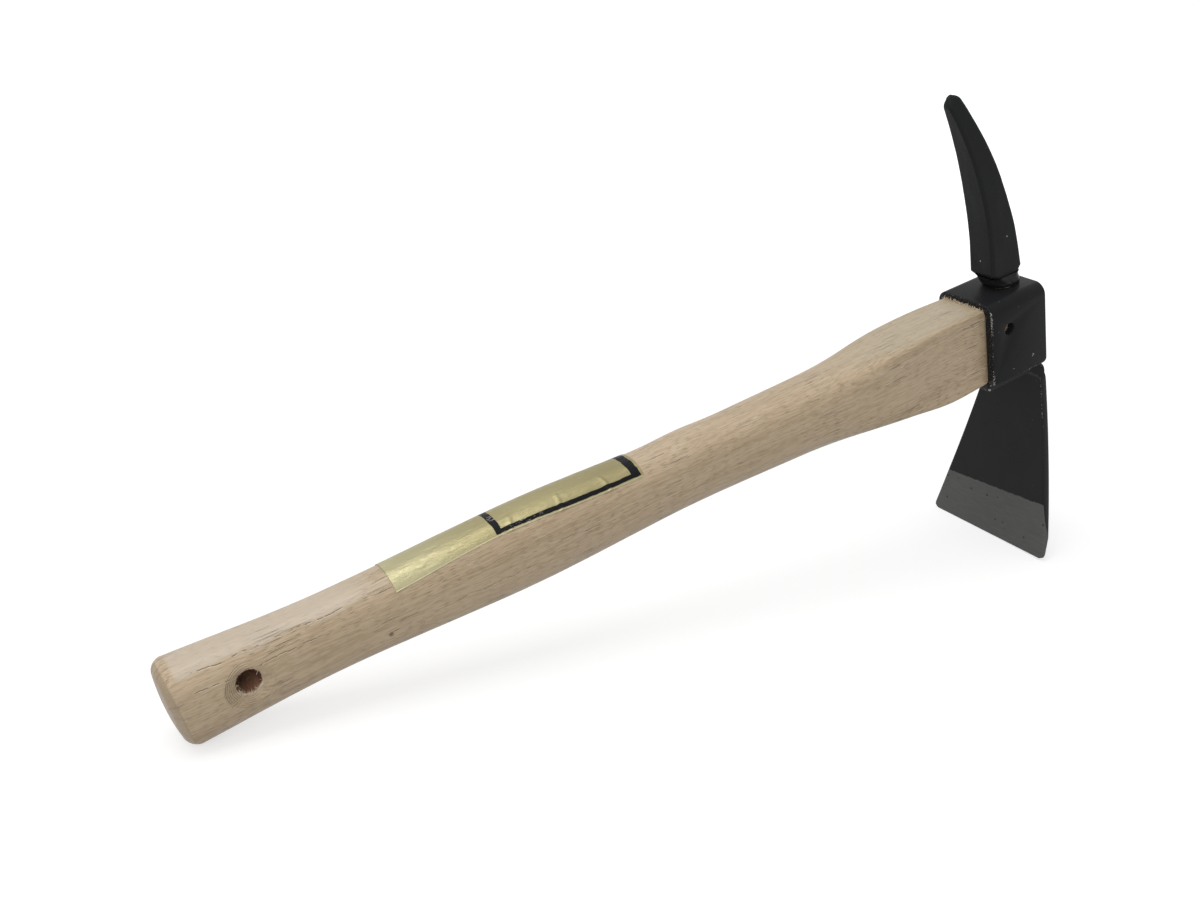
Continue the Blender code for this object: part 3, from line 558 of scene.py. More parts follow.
def scorchedAndLitBore(g, place, y, z):  # darkest at the near edge of the bore, and paler low in it, as painted light on its lower wall
    patches = g.spread(g.noise(place, 0.5, 3.0), 0.35, 0.7)
    edge = g.product(g.spread(y, -10.5, -12.0), g.spread(z, 2.0, 6.0, 0.4, 1.0))
    # paler low in the bore: painted light on its lower wall
    low = g.spread(z, 3.0, 0.0)
    return g.coats(
        wood["charred"], (patches, wood["scorched"]), (low, wood["boreFloorLight"]), (edge, wood["boreEdge"]))


def makeBeech():
    material, g, shader, place = newMaterial("beech", {"Specular IOR Level": 0.45})
    grain = placeGroup(g, beechGrain, Place=place)
    x, y, z = g.split(place)
    # painted light on the top: a sheen near the butt, and a greyer shade by the eye
    paintedSheen, paintedTopShade = paintedTopLightBands(g, place)
    cracks, lips = crackLines(g, place)
    fleck = g.spots(place, ((wood["fleckAt"], wood["fleckSize"]),))
    end = g.spread(g.total(x, g.product(z, handle["buttLean"])), wood["endGrainAt"], wood["endGrainAt"] - 0.8)
    speckle = g.spread(g.noise(place, (1.6, 1.6, 0.56), 3.0, 0.6), 0.35, 0.65, 0.70, 0.95)
    reach = g.distance(place, (handle["holeX"], 0.0, handle["holeZ"]), (1.0, 0.0, 1.0))
    dish = g.distance(place, (handle["holeX"], 0.0, handle["holeZ"] - handle["dishDrop"]), (1.0, 0.0, 1.0))
    near = g.spread(y, 0.0, -5.0)
    inDish = g.product(g.spread(dish, wood["rimReach"] + 0.3, wood["rimReach"] - 0.1), near)
    turned = g.product(inDish, g.spread(x, handle["holeX"] + 4.0, handle["holeX"] - 2.0))
    # painted highlight along the lower rim of the dish, where its surface faces up towards the light
    dishRimHighlight = g.product(g.near(dish, wood["rimReach"], 0.6), near, g.spread(z, 0.0, -5.0), 0.4)
    chips = g.spread(g.noise(place, 1.1, 2.0), 0.42, 0.52)
    chipped = g.product(g.near(reach, wood["holeReach"] + 0.7, 0.7), near, g.spread(z, 2.0, 0.0), chips, 0.7)
    rim = g.total(reach, g.varied(place, 0.8, -0.25, 0.25))
    inHole = g.spread(rim, wood["holeReach"] + 0.35, wood["holeReach"])
    rings = g.product(g.math("SINE", g.product(dish, wood["turnings"])), turned)
    raised = g.product(lips, 0.7)
    height = g.total(grain["Height"], g.product(rings, 0.7))
    height = g.total(height, g.math("SUBTRACT", raised, cracks))
    g.fill(shader, {
        "Base Color": g.coats(
            grain["Colour"], (paintedSheen, wood["paintedSheen"]), (paintedTopShade, wood["paintedTopShade"]),
            (raised, wood["lip"]), (g.product(cracks, 0.85), wood["crack"]),
            (g.product(fleck, 0.8), wood["fleck"]), (g.product(end, speckle), wood["endGrain"]),
            (g.product(inDish, 0.22), wood["dish"]), (dishRimHighlight, wood["dishRimHighlight"]), (chipped, wood["chip"]),
            (inHole, scorchedAndLitBore(g, place, y, z)),
            (g.product(g.spread(x, -1.2, -0.4), 0.3), wood["shoulder"])),
        "Roughness": g.spread(reach, wood["holeReach"] + 0.4, wood["holeReach"], grain["Gloss"], 0.95),
        "Normal": g.relief(height, *wood["relief"]),
    })
    return material


handlePiece = finishPiece(makeHandle(), "handle_body", makeBeech(), ["handle"], 24.0)
print("handle shaped:", len(handlePiece.data.polygons), "faces")


# Eye: steel strap bent over the handle

eye = {
    "width": 37.0, "top": 22.0, "bottom": -21.1, "length": 36.5, "plate": 4.5,
    "bend": 6.0, "cornerRound": 2.6, "edgeRound": 0.6,
    "nailX": 11.8, "nailZ": 6.3, "nailDiameter": 6.0,
}


def sharpEdges(bm, angle):
    return [e for e in bm.edges if len(e.link_faces) == 2 and e.calc_face_angle() > math.radians(angle)]


def roundEdges(bm, edges, offset, segments):
    bmesh.ops.bevel(bm, geom=edges, offset=offset, offset_type="OFFSET", segments=segments,
                    profile=0.5, affect="EDGES", clamp_overlap=True, material=-1)


def makeEyeStrap():
    size = (eye["length"], eye["width"], eye["top"] - eye["bottom"])
    bm = makeBox(size, (eye["length"] / 2, 0.0, (eye["top"] + eye["bottom"]) / 2))
    ends = [f for f in bm.faces if abs(f.normal.x) > 0.9 or f.normal.z < -0.9]
    bmesh.ops.delete(bm, geom=ends, context="FACES_ONLY")
    roundEdges(bm, [e for e in bm.edges if len(e.link_faces) == 2], eye["bend"], 12)
    bm.normal_update()
    bmesh.ops.solidify(bm, geom=bm.faces[:], thickness=eye["plate"])
    bmesh.ops.recalc_face_normals(bm, faces=bm.faces)

    def lowAtHeadEnd(vert):
        return vert.co.x > eye["length"] - 0.01 and vert.co.z < eye["bottom"] + 0.01

    roundEdges(bm, [e for e in bm.edges if all(lowAtHeadEnd(v) for v in e.verts)], eye["cornerRound"], 6)
    bm = cutAway(bm, crossRod(eye["nailX"], eye["nailZ"], eye["nailDiameter"], 32))
    roundEdges(bm, sharpEdges(bm, 50.0), eye["edgeRound"], 3)
    return bm


# Hoe blade: a plate bent into an L, whose short leg closes the eye

blade = {
    "legTop": -21.4, "legLength": 27.9, "legHalf": 14.6, "plate": 4.2,
    "bend": 8.2, "bendAngle": math.radians(102.0), "length": 93.6, "bow": 750.0,
    "edgeWidth": 81.8, "corner": 3.2, "skew": 0.015, "skewOver": 30.0,
    "bevel": 12.0, "bevelDrop": 3.1, "grindFar": 24.3, "grindNear": 29.5, "grindDepth": 0.5,
    "stepsAlong": 130, "stepsAcross": 44, "crowding": 0.06, "edgeRound": 0.5,
}
blade["bendEnd"] = blade["legLength"] + blade["bend"] * blade["bendAngle"]
blade["total"] = blade["bendEnd"] + blade["length"]


def bladePoint(s, y, depth):  # s along the plate from the mouth of the eye, depth below its outer face
    if s <= blade["legLength"]:
        return Vector((s, y, blade["legTop"] - depth))
    heading = (min(s, blade["bendEnd"]) - blade["legLength"]) / blade["bend"]
    x = blade["legLength"] + blade["bend"] * math.sin(heading)
    z = blade["legTop"] - blade["bend"] * (1.0 - math.cos(heading))
    bowed = heading
    if s > blade["bendEnd"]:
        bowed += (s - blade["bendEnd"]) / blade["bow"]
        x += blade["bow"] * (math.sin(bowed) - math.sin(heading))
        z -= blade["bow"] * (math.cos(heading) - math.cos(bowed))
    return Vector((x - depth * math.sin(bowed), y, z - depth * math.cos(bowed)))


def bladeHalf(s):  # half width of the flat blank at s
    flare = (blade["edgeWidth"] / 2 - blade["legHalf"]) / (blade["total"] - blade["legLength"])
    half = blade["legHalf"] + flare * max(s - blade["legLength"], 0.0)
    half -= max(1.0 - s, 0.0)
    into = s - (blade["total"] - blade["corner"])
    if into > 0.0:
        half -= blade["corner"] - math.sqrt(max(blade["corner"] ** 2 - into ** 2, 0.0))
    return half


def makeBlade():
    bm = bmesh.new()
    groundShare = bm.verts.layers.float.new("ground")  # above 0 where the paint is ground off
    nearArris = bm.verts.layers.float.new("nearArris")  # 1 along the near arris of the inner face
    bmesh.ops.create_grid(bm, x_segments=blade["stepsAlong"], y_segments=blade["stepsAcross"], size=0.5)
    inner = bmesh.ops.extrude_face_region(bm, geom=bm.faces[:], use_keep_orig=True)["geom"]
    innerVerts = {item for item in inner if isinstance(item, bmesh.types.BMVert)}
    total = blade["total"]
    for vert in bm.verts:
        u, v = vert.co.x + 0.5, vert.co.y * 2.0
        s = total * (u + blade["crowding"] * math.sin(2 * math.pi * u) / math.pi)
        y = v * bladeHalf(s)
        grind = mix(blade["grindNear"], blade["grindFar"], (y / blade["edgeWidth"]) + 0.5)
        ground = (s - total + grind) / grind
        onInner = vert in innerVerts
        vert[nearArris] = 1.0 if onInner and v < -0.99 else 0.0
        vert[groundShare] = ground if onInner else (s - total + blade["bevel"]) / blade["bevel"]
        s += blade["skew"] * y * ease(s, blade["bendEnd"], blade["bendEnd"] + blade["skewOver"])
        depth = blade["bevelDrop"] * clamp((s - total + blade["bevel"]) / blade["bevel"])
        if onInner:
            depth = blade["plate"] - blade["grindDepth"] * clamp(ground)
        vert.co = bladePoint(s, y, depth)
    bmesh.ops.recalc_face_normals(bm, faces=bm.faces)
    roundEdges(bm, sharpEdges(bm, 55.0), blade["edgeRound"], 2)
    return bm


# Pick: a tapered bar forged on a bend, drawn in to a round neck where it is welded on

pick = {
    "x": 22.0, "bend": 224.0, "length": 106.4,
    "rootDepth": 20.6, "depthTaper": 0.124, "rootWidth": 16.5, "tipWidth": 4.8, "widthTaper": 2.8,
    "arris": 1.7, "nose": 4.5, "noseFlat": 0.42, "shoulder": 9.0,
    # height over the eye, shift towards the head's end, half depth, half width, corner
    "foot": (
        (0.0, 2.9, 5.7, 6.4, 5.0), (5.0, 1.5, 7.2, 7.4, 4.5), (7.2, 0.4, 8.9, 8.0, 3.0),
        (9.0, 0.0, 9.74, 8.24, 1.7),
    ),
    "sides": 96, "rings": 150,
    # shares of the rings: the end of the foot, the start of the nose and the start of the flat point
    "footRings": 0.16, "noseRings": 0.88, "pointRings": 0.98,
    "dents": ((0.10, 0.045, 0.0, 0.22), (0.3, 0.16, 9.0, 0.07)),  # scale across and along, offset, depth
}


def roundBox(halfX, halfY, radius, turn):  # point round a rectangle with round corners, turn from 0 to 1
    radius = min(radius, halfX * 0.95, halfY * 0.95)
    quarter = min(int(turn * 4.0), 3)
    part = turn * 4.0 - quarter
    signX, signY = ((1, 1), (-1, 1), (-1, -1), (1, -1))[quarter]
    flatX, flatY = halfX - radius, halfY - radius
    first, last = (flatY, flatX) if quarter % 2 == 0 else (flatX, flatY)
    cornerX, cornerY = signX * flatX, signY * flatY
    angle = clamp(90.0 * (part - 0.25) / 0.5, 0.0, 90.0)
    if part < 0.25 or part > 0.75:
        slide = first * part / 0.25 if part < 0.25 else last * (1.0 - part) / 0.25
        if (part < 0.25) == (quarter % 2 == 1):
            cornerX = signX * slide
        else:
            cornerY = signY * slide
    turnAngle = math.radians(90.0 * quarter + angle)
    return cornerX + radius * math.cos(turnAngle), cornerY + radius * math.sin(turnAngle)


def pickSection(s):  # shift, half depth, half width and corner at s along the pick
    if s < pick["shoulder"]:
        return throughRows(pick["foot"], s)
    depth = pick["rootDepth"] - pick["depthTaper"] * s
    narrowing = (s / pick["length"]) ** pick["widthTaper"]
    width = pick["rootWidth"] - (pick["rootWidth"] - pick["tipWidth"]) * narrowing
    nose = max(s - pick["length"] + pick["nose"], 0.0) / pick["nose"]
    shrink = max(math.sqrt(max(1.0 - nose * nose, 0.0)), pick["noseFlat"])
    return 0.0, depth / 2 * shrink, width / 2 * shrink, pick["arris"]


def pickPlace(s, across, side):  # across is towards the head's end, side is across the tool
    turn = s / pick["bend"]
    x = pick["x"] - pick["bend"] * (1.0 - math.cos(turn)) + across * math.cos(turn)
    z = eye["top"] + touchGap + pick["bend"] * math.sin(turn) + across * math.sin(turn)
    return Vector((x, side, z))


def makePick():
    noseStart = pick["length"] - pick["nose"]
    foot, nose, point = pick["footRings"], pick["noseRings"], pick["pointRings"]

    def skin(u, v):
        if v < foot:
            s = pick["shoulder"] * v / foot
        elif v < nose:
            s = mix(pick["shoulder"], noseStart, (v - foot) / (nose - foot))
        else:
            into = math.radians(90.0) * min((v - nose) / (point - nose), 1.0)
            s = noseStart + pick["nose"] * math.sin(into)
        shift, halfDepth, halfWidth, corner = pickSection(s)
        a, b = roundBox(halfDepth, halfWidth, corner, u)
        dent = 0.0
        for across, along, offset, depth in pick["dents"]:
            dent += noise.noise(Vector((a * across, b * across, s * along + offset))) * depth
        grow = 1.0 + dent / max(math.hypot(a, b), 2.0) * ease(s, 3.0, 12.0)
        cap = 1.0 - 0.5 * max(v - point, 0.0) / (1.0 - point)
        return pickPlace(s, (a * grow + shift) * cap, b * grow * cap)

    return wrapGrid(pick["sides"], pick["rings"], skin)


# Welds: a bead round the neck of the pick, and one in each corner under the eye

weld = {
    # height over the eye, thickness, extra half depth, shift towards the head's end
    "neck": (
        (0.0, 1.8, 0.5, 0.1), (1.4, 1.8, 0.6, -0.2), (3.2, 1.2, 0.8, -0.6), (4.8, 0.7, 0.7, -0.7),
        (6.4, 0.2, 0.3, -0.3),
    ),
    "neckRipples": 13, "neckRipple": 0.07, "neckSwell": 0.3, "neckSides": 200, "neckRings": 32,
    "inner": 10.5, "outer": 16.6, "back": 1.9, "low": math.radians(80.0), "ripples": 4,
    "lift": 0.15, "belly": 0.5, "fullness": (0.55, 0.41), "endRound": 0.35, "ripple": 0.04,
    # shares of the way round the corner bead: where its inner face and its swollen face end
    "innerTo": 0.4, "swollenTo": 0.85, "sides": 40, "rings": 36,
}


def makeNeckWeld():
    tall = weld["neck"][-1][0]

    def skin(u, v):  # up the outside of the bead, and down again against the neck
        swirl = v * 2.0
        height, thickness, deeper, shift = tall * (2.0 - swirl), 0.0, 0.0, 0.0
        if swirl <= 1.0:
            height = tall * swirl
            thickness, deeper, shift = throughRows(weld["neck"], height)
        neckShift, halfDepth, halfWidth, corner = pickSection(height)
        thickness += touchGap
        x, y = roundBox(halfDepth + thickness + deeper, halfWidth + thickness, corner + thickness, u)
        if 0.0 < swirl < 1.0:
            lap = math.sin(2 * math.pi * (weld["neckRipples"] * u + 0.5 * height / tall))
            lumps = noise.noise(Vector((x * 0.35, y * 0.35, height * 0.5)))
            swell = (weld["neckRipple"] * lap + weld["neckSwell"] * lumps) * math.sin(math.pi * swirl)
            x, y = x * (1 + swell / math.hypot(x, y)), y * (1 + swell / math.hypot(x, y))
        return Vector((pick["x"] + neckShift + shift + x, y, eye["top"] + touchGap + height))

    return wrapGrid(weld["neckSides"], weld["neckRings"], skin)


def makeEyeWeld(side):
    centreX, centreZ = blade["legLength"], blade["legTop"] - blade["bend"]
    innerTo, swollenTo = weld["innerTo"], weld["swollenTo"]

    def onArc(reach, angle):
        return centreX + reach * math.sin(angle), centreZ + reach * math.cos(angle)

    def skin(u, v):
        along = 0.5 - 0.5 * math.cos(math.pi * v)
        ends = (2 * along - 1) ** 2
        lift = weld["lift"] * ends
        inner = blade["bend"] + touchGap + lift
        rise = eye["bottom"] - touchGap - lift - centreZ
        tip = math.acos(rise / inner)
        full = math.atan2(eye["length"] - weld["back"] - centreX, rise)
        fullness = weld["fullness"][0] + weld["fullness"][1] * (1.0 - ends) ** weld["endRound"]
        fullness += weld["ripple"] * math.cos(2 * math.pi * weld["ripples"] * along)
        crown = mix(tip, full, fullness)
        reach = rise / math.cos(crown)
        if u < innerTo:
            x, z = onArc(inner, mix(tip, weld["low"], u / innerTo))
        elif u < swollenTo:
            t = (u - innerTo) / (swollenTo - innerTo)
            swell = weld["belly"] * fullness * math.sin(math.pi * t)
            x, z = onArc(mix(inner, reach, t) + swell, mix(weld["low"], crown, t))
        else:
            back = (u - swollenTo) / (1.0 - swollenTo)
            x, z = [mix(a, b, back) for a, b in zip(onArc(reach, crown), onArc(inner, tip))]
        return Vector((x, side * mix(weld["inner"], weld["outer"], along), z))

    return wrapGrid(weld["sides"], weld["rings"], skin)


# Black paint finishes: each finds its worn edges, its painted edge highlights and glints, and its chips from
# the place, or from a mesh attribute

knocks = {  # places and sizes of the chips in the paint; the first two on the blade also paint a highlight at the short leg's corner
    "strap": (((13.5, -18.5, -16.5), 0.7), ((26.8, -18.5, -13.6), 1.3), ((26.5, -18.3, 18.6), 0.9)),
    "pick": (
        ((-9.0, -5.0, 126.5), 1.1), ((12.2, 0.4, 37.8), 0.8), ((4.4, -8.2, 42.6), 0.8),
        ((22.0, -8.2, 49.4), 0.7),
    ),
    "blade": (((0.6, -14.4, -25.0), 1.3), ((1.4, -14.6, -22.6), 0.6), ((27.9, -14.6, -22.8), 1.6)),
}
steel = {
    "relief": 0.35, "coat": 0.00012, "pickCoat": 0.0002, "weldCoat": 0.0003,  # strength, and depths in metres
    "bladePaint": (0.0118, 0.0120, 0.0126, 1), "pickPaint": (0.0165, 0.0172, 0.0180, 1),
    "ground": (0.085, 0.085, 0.083, 1), "brushed": (0.106, 0.106, 0.102, 1), "pit": (0.018, 0.018, 0.018, 1),
}


def wornLine(g, place, point, along, outer, peak=1.0):  # wear beside a line through a point, along one axis
    scale = [0.0 if axis == along else 1.0 for axis in "xyz"]
    return g.spread(g.distance(place, point, scale), outer, 0.3, 0.0, peak)


def strapWear(g, place):  # bare steel and painted edge highlights along the near and top arrises of the mouth and the near bottom edge, painted light over the mouth's end face, and three knocks
    x, _, z = g.split(place)
    mouthEnds = g.most(g.spread(z, 2.0, 12.0, 0.5, 1.0), g.spread(z, -10.0, -16.0, 0.5, 0.9))
    mouth = g.product(wornLine(g, place, (0.3, -18.2, 0.0), "z", 1.05), mouthEnds)
    bottom = g.product(wornLine(g, place, (0.0, -18.4, -21.0), "x", 0.9), g.spread(x, 0.0, 28.0, 0.4, 0.75))
    top = g.spread(g.distance(place, (0.2, -5.6, 21.6), (1.0, 0.4, 1.0)), 1.6, 0.3, 0.0, 0.55)
    # painted light: the whole end face at the mouth is lightened
    end = g.spread(x, 0.6, 0.2, 0.0, 0.55)
    return g.product(g.most(mouth, bottom, top, end, g.spots(place, knocks["strap"])), 0.62)


def pickWear(g, place):  # a nick at the point and three chips low on the bar
    return g.product(g.spots(place, knocks["pick"]), 0.7)


def weldWear(g, place):  # bare patches that also paint glints, and a painted highlight along the toe of the neck's bead on the near side
    x, y, z = g.split(place)
    # painted highlight: a thin bright line along the toe of the bead
    toeHighlight = g.product(g.near(z, eye["top"] + 0.6, 0.45), g.spread(y, -3.0, -4.5), g.spread(x, 24.0, 22.0), 0.8)
    return g.most(toeHighlight, g.spread(g.noise(place, 0.45, 2.0), 0.54, 0.70, 0.0, 0.35))


def bladeWear(g, place):  # bare steel that also paints edge highlights: the mouth end of the short leg, its near edge, and the near arris below the bend
    z = g.split(place)[2]
    # painted edge highlights along these lines, laid on as bare steel
    end = wornLine(g, place, (0.4, 0.0, -25.2), "y", 1.0, 0.4)
    flank = wornLine(g, place, (0.0, -14.4, -25.4), "x", 0.9, 0.32)
    arris = g.spread(g.attribute("nearArris"), 0.80, 1.0)
    arris = g.product(arris, g.spread(z, -52.0, -48.0), g.spread(z, -26.0, -29.0), 0.5)
    return g.most(end, arris, flank, g.product(g.spots(place, knocks["blade"]), 0.85))


def makeSteel(name, wearAndHighlightsAt, paintSettings, coat=steel["coat"], shine=0.06):
    material, g, shader, place = newMaterial(name, {"Specular IOR Level": shine})
    paint = placeGroup(g, wornPaintAndHighlights, Place=place, Wear=wearAndHighlightsAt(g, place), **paintSettings)
    g.fill(shader, {
        "Base Color": paint["Colour"], "Roughness": paint["Roughness"], "Metallic": paint["Metal"],
        "Normal": g.relief(paint["Height"], steel["relief"], coat),
    })
    return material


def makeBladeSteel():  # paint, ground back to dull steel over the edge
    material, g, shader, place = newMaterial("blade_steel", {"Specular IOR Level": 0.12})
    ragged = g.varied(place, 0.35, -0.008, 0.008)
    ground = g.spread(g.total(g.attribute("ground"), ragged), 0.0, 0.02)
    settings = {"Coat": steel["bladePaint"], "Specks": 0.4, "Scuffs": 0.0}
    paint = placeGroup(g, wornPaintAndHighlights, Place=place, Wear=bladeWear(g, place), **settings)
    brushed = g.noise(place, (0.5, 0.12, 2.4), 3.0, 0.6)
    cells, chance = g.cells(place, 0.30)
    pits = g.product(g.spread(cells, 0.24, 0.12), g.spread(chance, 0.86, 0.90), 0.8)
    bare = g.coats(steel["ground"], (g.spread(brushed, 0.3, 0.7), steel["brushed"]), (pits, steel["pit"]))
    bareRough = g.spread(brushed, 0.3, 0.7, 0.45, 0.55)
    g.fill(shader, {
        "Base Color": g.blend(ground, paint["Colour"], bare),
        "Roughness": g.spread(ground, 0.0, 1.0, paint["Roughness"], bareRough),
        "Metallic": g.most(paint["Metal"], g.product(ground, 0.15)),
        "Normal": g.relief(paint["Height"], steel["relief"], steel["coat"]),
    })
    return material


plateSteel = makeSteel("plate_steel", strapWear, {"Specks": 0.35, "Scuffs": 0.4})
pickPaint = {"Specks": 0.35, "Scuffs": 0.2, "Coat": steel["pickPaint"]}
pickSteel = makeSteel("pick_steel", pickWear, pickPaint, steel["pickCoat"])
weldSteel = makeSteel("weld_steel", weldWear, {"Specks": 0.4, "Scuffs": 0.2}, steel["weldCoat"], 0.12)

finishPiece(makeEyeStrap(), "eye_plate", plateSteel, ["eye_strap"])
finishPiece(makeBlade(), "blade_plate", makeBladeSteel(), ["hoe_blade"])
finishPiece(makePick(), "pick_bar", pickSteel, ["pick"])
finishPiece(makeNeckWeld(), "neck_bead", weldSteel, ["pick_weld"])
finishPiece(makeEyeWeld(-1), "corner_bead_near", weldSteel, ["eye_weld_near"])
finishPiece(makeEyeWeld(1), "corner_bead_far", weldSteel, ["eye_weld_far"])
print("head shaped")


# Label: gold foil with a black frame, stuck round the top of the grip and left plain

label = {
    "from": -320.8, "to": -199.2, "lift": 0.3, "foil": 0.2, "unevenness": 0.05,
    # degrees up from the near side, from the left end to the right
    "lowEdge": ((0.0, 35.0), (0.42, 48.0), (0.80, 41.5), (1.0, 41.0)), "highEdge": 139.0,
    "columns": 180, "rows": 60,
    # height, place along the label, slant and half width of each crease, and where all of them are highest
    "creases": ((0.65, 0.655, 0.03, 0.006), (0.75, 0.855, -0.03, 0.007), (0.45, 0.455, 0.05, 0.008)),
    "creasePeak": 0.05, "creaseFade": 0.25,
    # the black frame: both ends and the low edge of its outline and of its window, as shares of the foil
    "frame": (0.398, 0.990, 0.030), "window": (0.424, 0.955, 0.118), "edgeLine": 0.022,
    "gold": (0.46, 0.425, 0.255, 1), "midGold": (0.365, 0.322, 0.172, 1), "farGold": (0.30, 0.26, 0.135, 1),
    "tarnish": (0.27, 0.23, 0.12, 1), "brightEdge": (0.62, 0.58, 0.38, 1),
    "ink": (0.006, 0.006, 0.007, 1), "rubbedInk": (0.42, 0.41, 0.38, 1), "relief": (0.6, 0.0008),
}


def labelPoint(u, v, lift):
    half, tall, centre, squareness = handleSection(mix(label["from"], label["to"], u))
    angle = math.radians(mix(smoothThrough(label["lowEdge"], u), label["highEdge"], v))
    c, s = math.cos(angle), math.sin(angle)
    power = 2.0 / squareness
    y = -(half + lift) * math.copysign(abs(c) ** power, c)
    z = (tall + lift) * math.copysign(abs(s) ** power, s)
    return Vector((mix(label["from"], label["to"], u), y, centre + z))


def makeLabel():
    bm = bmesh.new()
    bmesh.ops.create_grid(bm, x_segments=label["columns"], y_segments=label["rows"], size=0.5, calc_uvs=True)
    uvMap = bm.loops.layers.uv.verify()
    for face in bm.faces:
        for loop in face.loops:
            loop[uvMap].uv = (loop.vert.co.x + 0.5, loop.vert.co.y + 0.5)
    for vert in bm.verts:
        u, v = vert.co.x + 0.5, vert.co.y + 0.5
        crease = sum(tall * bump(u, at + slant * v, half) for tall, at, slant, half in label["creases"])
        crease *= bump(v, label["creasePeak"], label["creaseFade"])
        soft = label["unevenness"] * noise.noise(Vector((u * 22.0, v * 7.0, 3.0)))
        vert.co = labelPoint(u, v, label["lift"] + crease + soft)
    bmesh.ops.recalc_face_normals(bm, faces=bm.faces)
    if sum(face.normal.z for face in bm.faces) < 0:
        bmesh.ops.reverse_faces(bm, faces=bm.faces)
    bmesh.ops.solidify(bm, geom=bm.faces[:], thickness=label["foil"])
    bmesh.ops.recalc_face_normals(bm, faces=bm.faces)
    return bm


def makeFoil():
    material, g, shader, place = newMaterial("gold_foil", {"Specular IOR Level": 0.1})
    u, v = g.split(g.node("UVMap").outputs["UV"])[:2]
    wobble = g.varied(place, 0.3, -0.0015, 0.0015, 2.0)
    across, up = g.total(u, wobble), g.total(v, g.product(wobble, 3.0))

    def box(fromU, toU, fromV):  # inside a rectangle that runs on over the top
        sides = g.product(g.spread(across, fromU, fromU + 0.002), g.spread(across, toU, toU - 0.002))
        return g.product(sides, g.spread(up, fromV, fromV + 0.008))

    frameInk = g.math("SUBTRACT", box(*label["frame"]), box(*label["window"]), True)
    scratches = g.noise(place, (0.35, 1.6, 1.6), 4.0, 0.7)
    rubbed = g.product(g.spread(scratches, 0.57, 0.64), g.spread(u, 0.72, 0.50))
    rubbed = g.product(rubbed, g.spread(g.noise(place, 0.15, 1.0), 0.40, 0.55))
    tarnish = g.spread(g.noise(place, (0.02, 0.10, 0.10)), 0.35, 0.65, 0.0, 0.25)
    edge = g.spread(v, label["edgeLine"], label["edgeLine"] - 0.010)
    gold = g.coats(
        label["gold"], (g.spread(u, 0.05, 0.42), label["midGold"]),
        (g.spread(u, 0.50, 0.95), label["farGold"]), (tarnish, label["tarnish"]),
        (g.product(edge, 0.6), label["brightEdge"]))
    g.fill(shader, {
        "Base Color": g.blend(frameInk, gold, g.blend(rubbed, label["ink"], label["rubbedInk"])),
        "Metallic": g.spread(frameInk, 0.0, 1.0, 0.55, 0.0),
        "Roughness": g.varied(place, 0.4, 0.34, 0.46),
        "Normal": g.relief(g.noise(place, (0.14, 0.45, 0.45), 4.0, 0.6, 0.5), *label["relief"]),
    })
    return material


finishPiece(makeLabel(), "label_foil", makeFoil(), ["foil_label"], 60.0)


# Small pieces: fibres crushed up at the mouth of the eye, splinters at the lip of the hanging hole

mouthFibres = {
    "seed": 11, "count": 120, "across": (-13.2, 13.6), "along": (-1.2, -0.2), "height": 18.75, "uneven": 0.15,
    "heading": ((-0.6, 0.5), (-0.7, 0.7), (0.25, 1.0)), "length": (0.675, 1.95), "thick": (0.266, 0.646),
}
splinters = {
    "seed": 12, "count": 60, "middle": -120.0, "spread": 42.0, "inward": (0.2, 1.1), "outward": (-0.7, 0.0),
    "scatter": 0.35, "length": (0.6, 1.8), "thick": (0.14, 0.36), "reach": 1.02,
}
fibreTone = {"pale": (0.66, 0.57, 0.43, 1), "deep": (0.44, 0.33, 0.21, 1), "relief": (0.4, 0.0002)}


def addFibre(bm, root, heading, length, thick):
    turn = heading.normalized().to_track_quat("Z", "Y").to_matrix().to_4x4()
    size = Matrix.Diagonal((thick, thick * 0.55, length, 1.0))
    where = Matrix.Translation(root + heading.normalized() * length / 2) @ turn @ size
    bmesh.ops.create_cone(bm, cap_ends=True, segments=5, radius1=0.5, radius2=0.12, depth=1.0, matrix=where)


def makeMouthFibres():
    rng = random.Random(mouthFibres["seed"])
    bm = bmesh.new()
    for _ in range(mouthFibres["count"]):
        y, x = rng.uniform(*mouthFibres["across"]), rng.uniform(*mouthFibres["along"])
        root = Vector((x, y, mouthFibres["height"] + mouthFibres["uneven"] * rng.random()))
        heading = Vector([rng.uniform(*ends) for ends in mouthFibres["heading"]])
        addFibre(bm, root, heading, rng.uniform(*mouthFibres["length"]), rng.uniform(*mouthFibres["thick"]))
    return bm


def makeHoleSplinters():
    rng = random.Random(splinters["seed"])
    bm = bmesh.new()
    radius = handle["holeDiameter"] / 2
    for _ in range(splinters["count"]):
        angle = math.radians(rng.gauss(splinters["middle"], splinters["spread"]))
        c, s = math.cos(angle), math.sin(angle)
        depth = dishDepth(math.hypot(radius * c, radius * s + handle["dishDrop"]))
        x, z = [handle[k] + radius * part * splinters["reach"] for k, part in (("holeX", c), ("holeZ", s))]
        root = Vector((x, depth - handleSection(handle["holeX"])[0], z))
        inward = rng.uniform(*splinters["inward"])
        headX = rng.gauss(0.0, splinters["scatter"]) - inward * c
        headY = rng.uniform(*splinters["outward"])
        headZ = rng.gauss(0.0, splinters["scatter"]) - inward * s
        length, thick = rng.uniform(*splinters["length"]), rng.uniform(*splinters["thick"])
        addFibre(bm, root, Vector((headX, headY, headZ)), length, thick)
    return bm


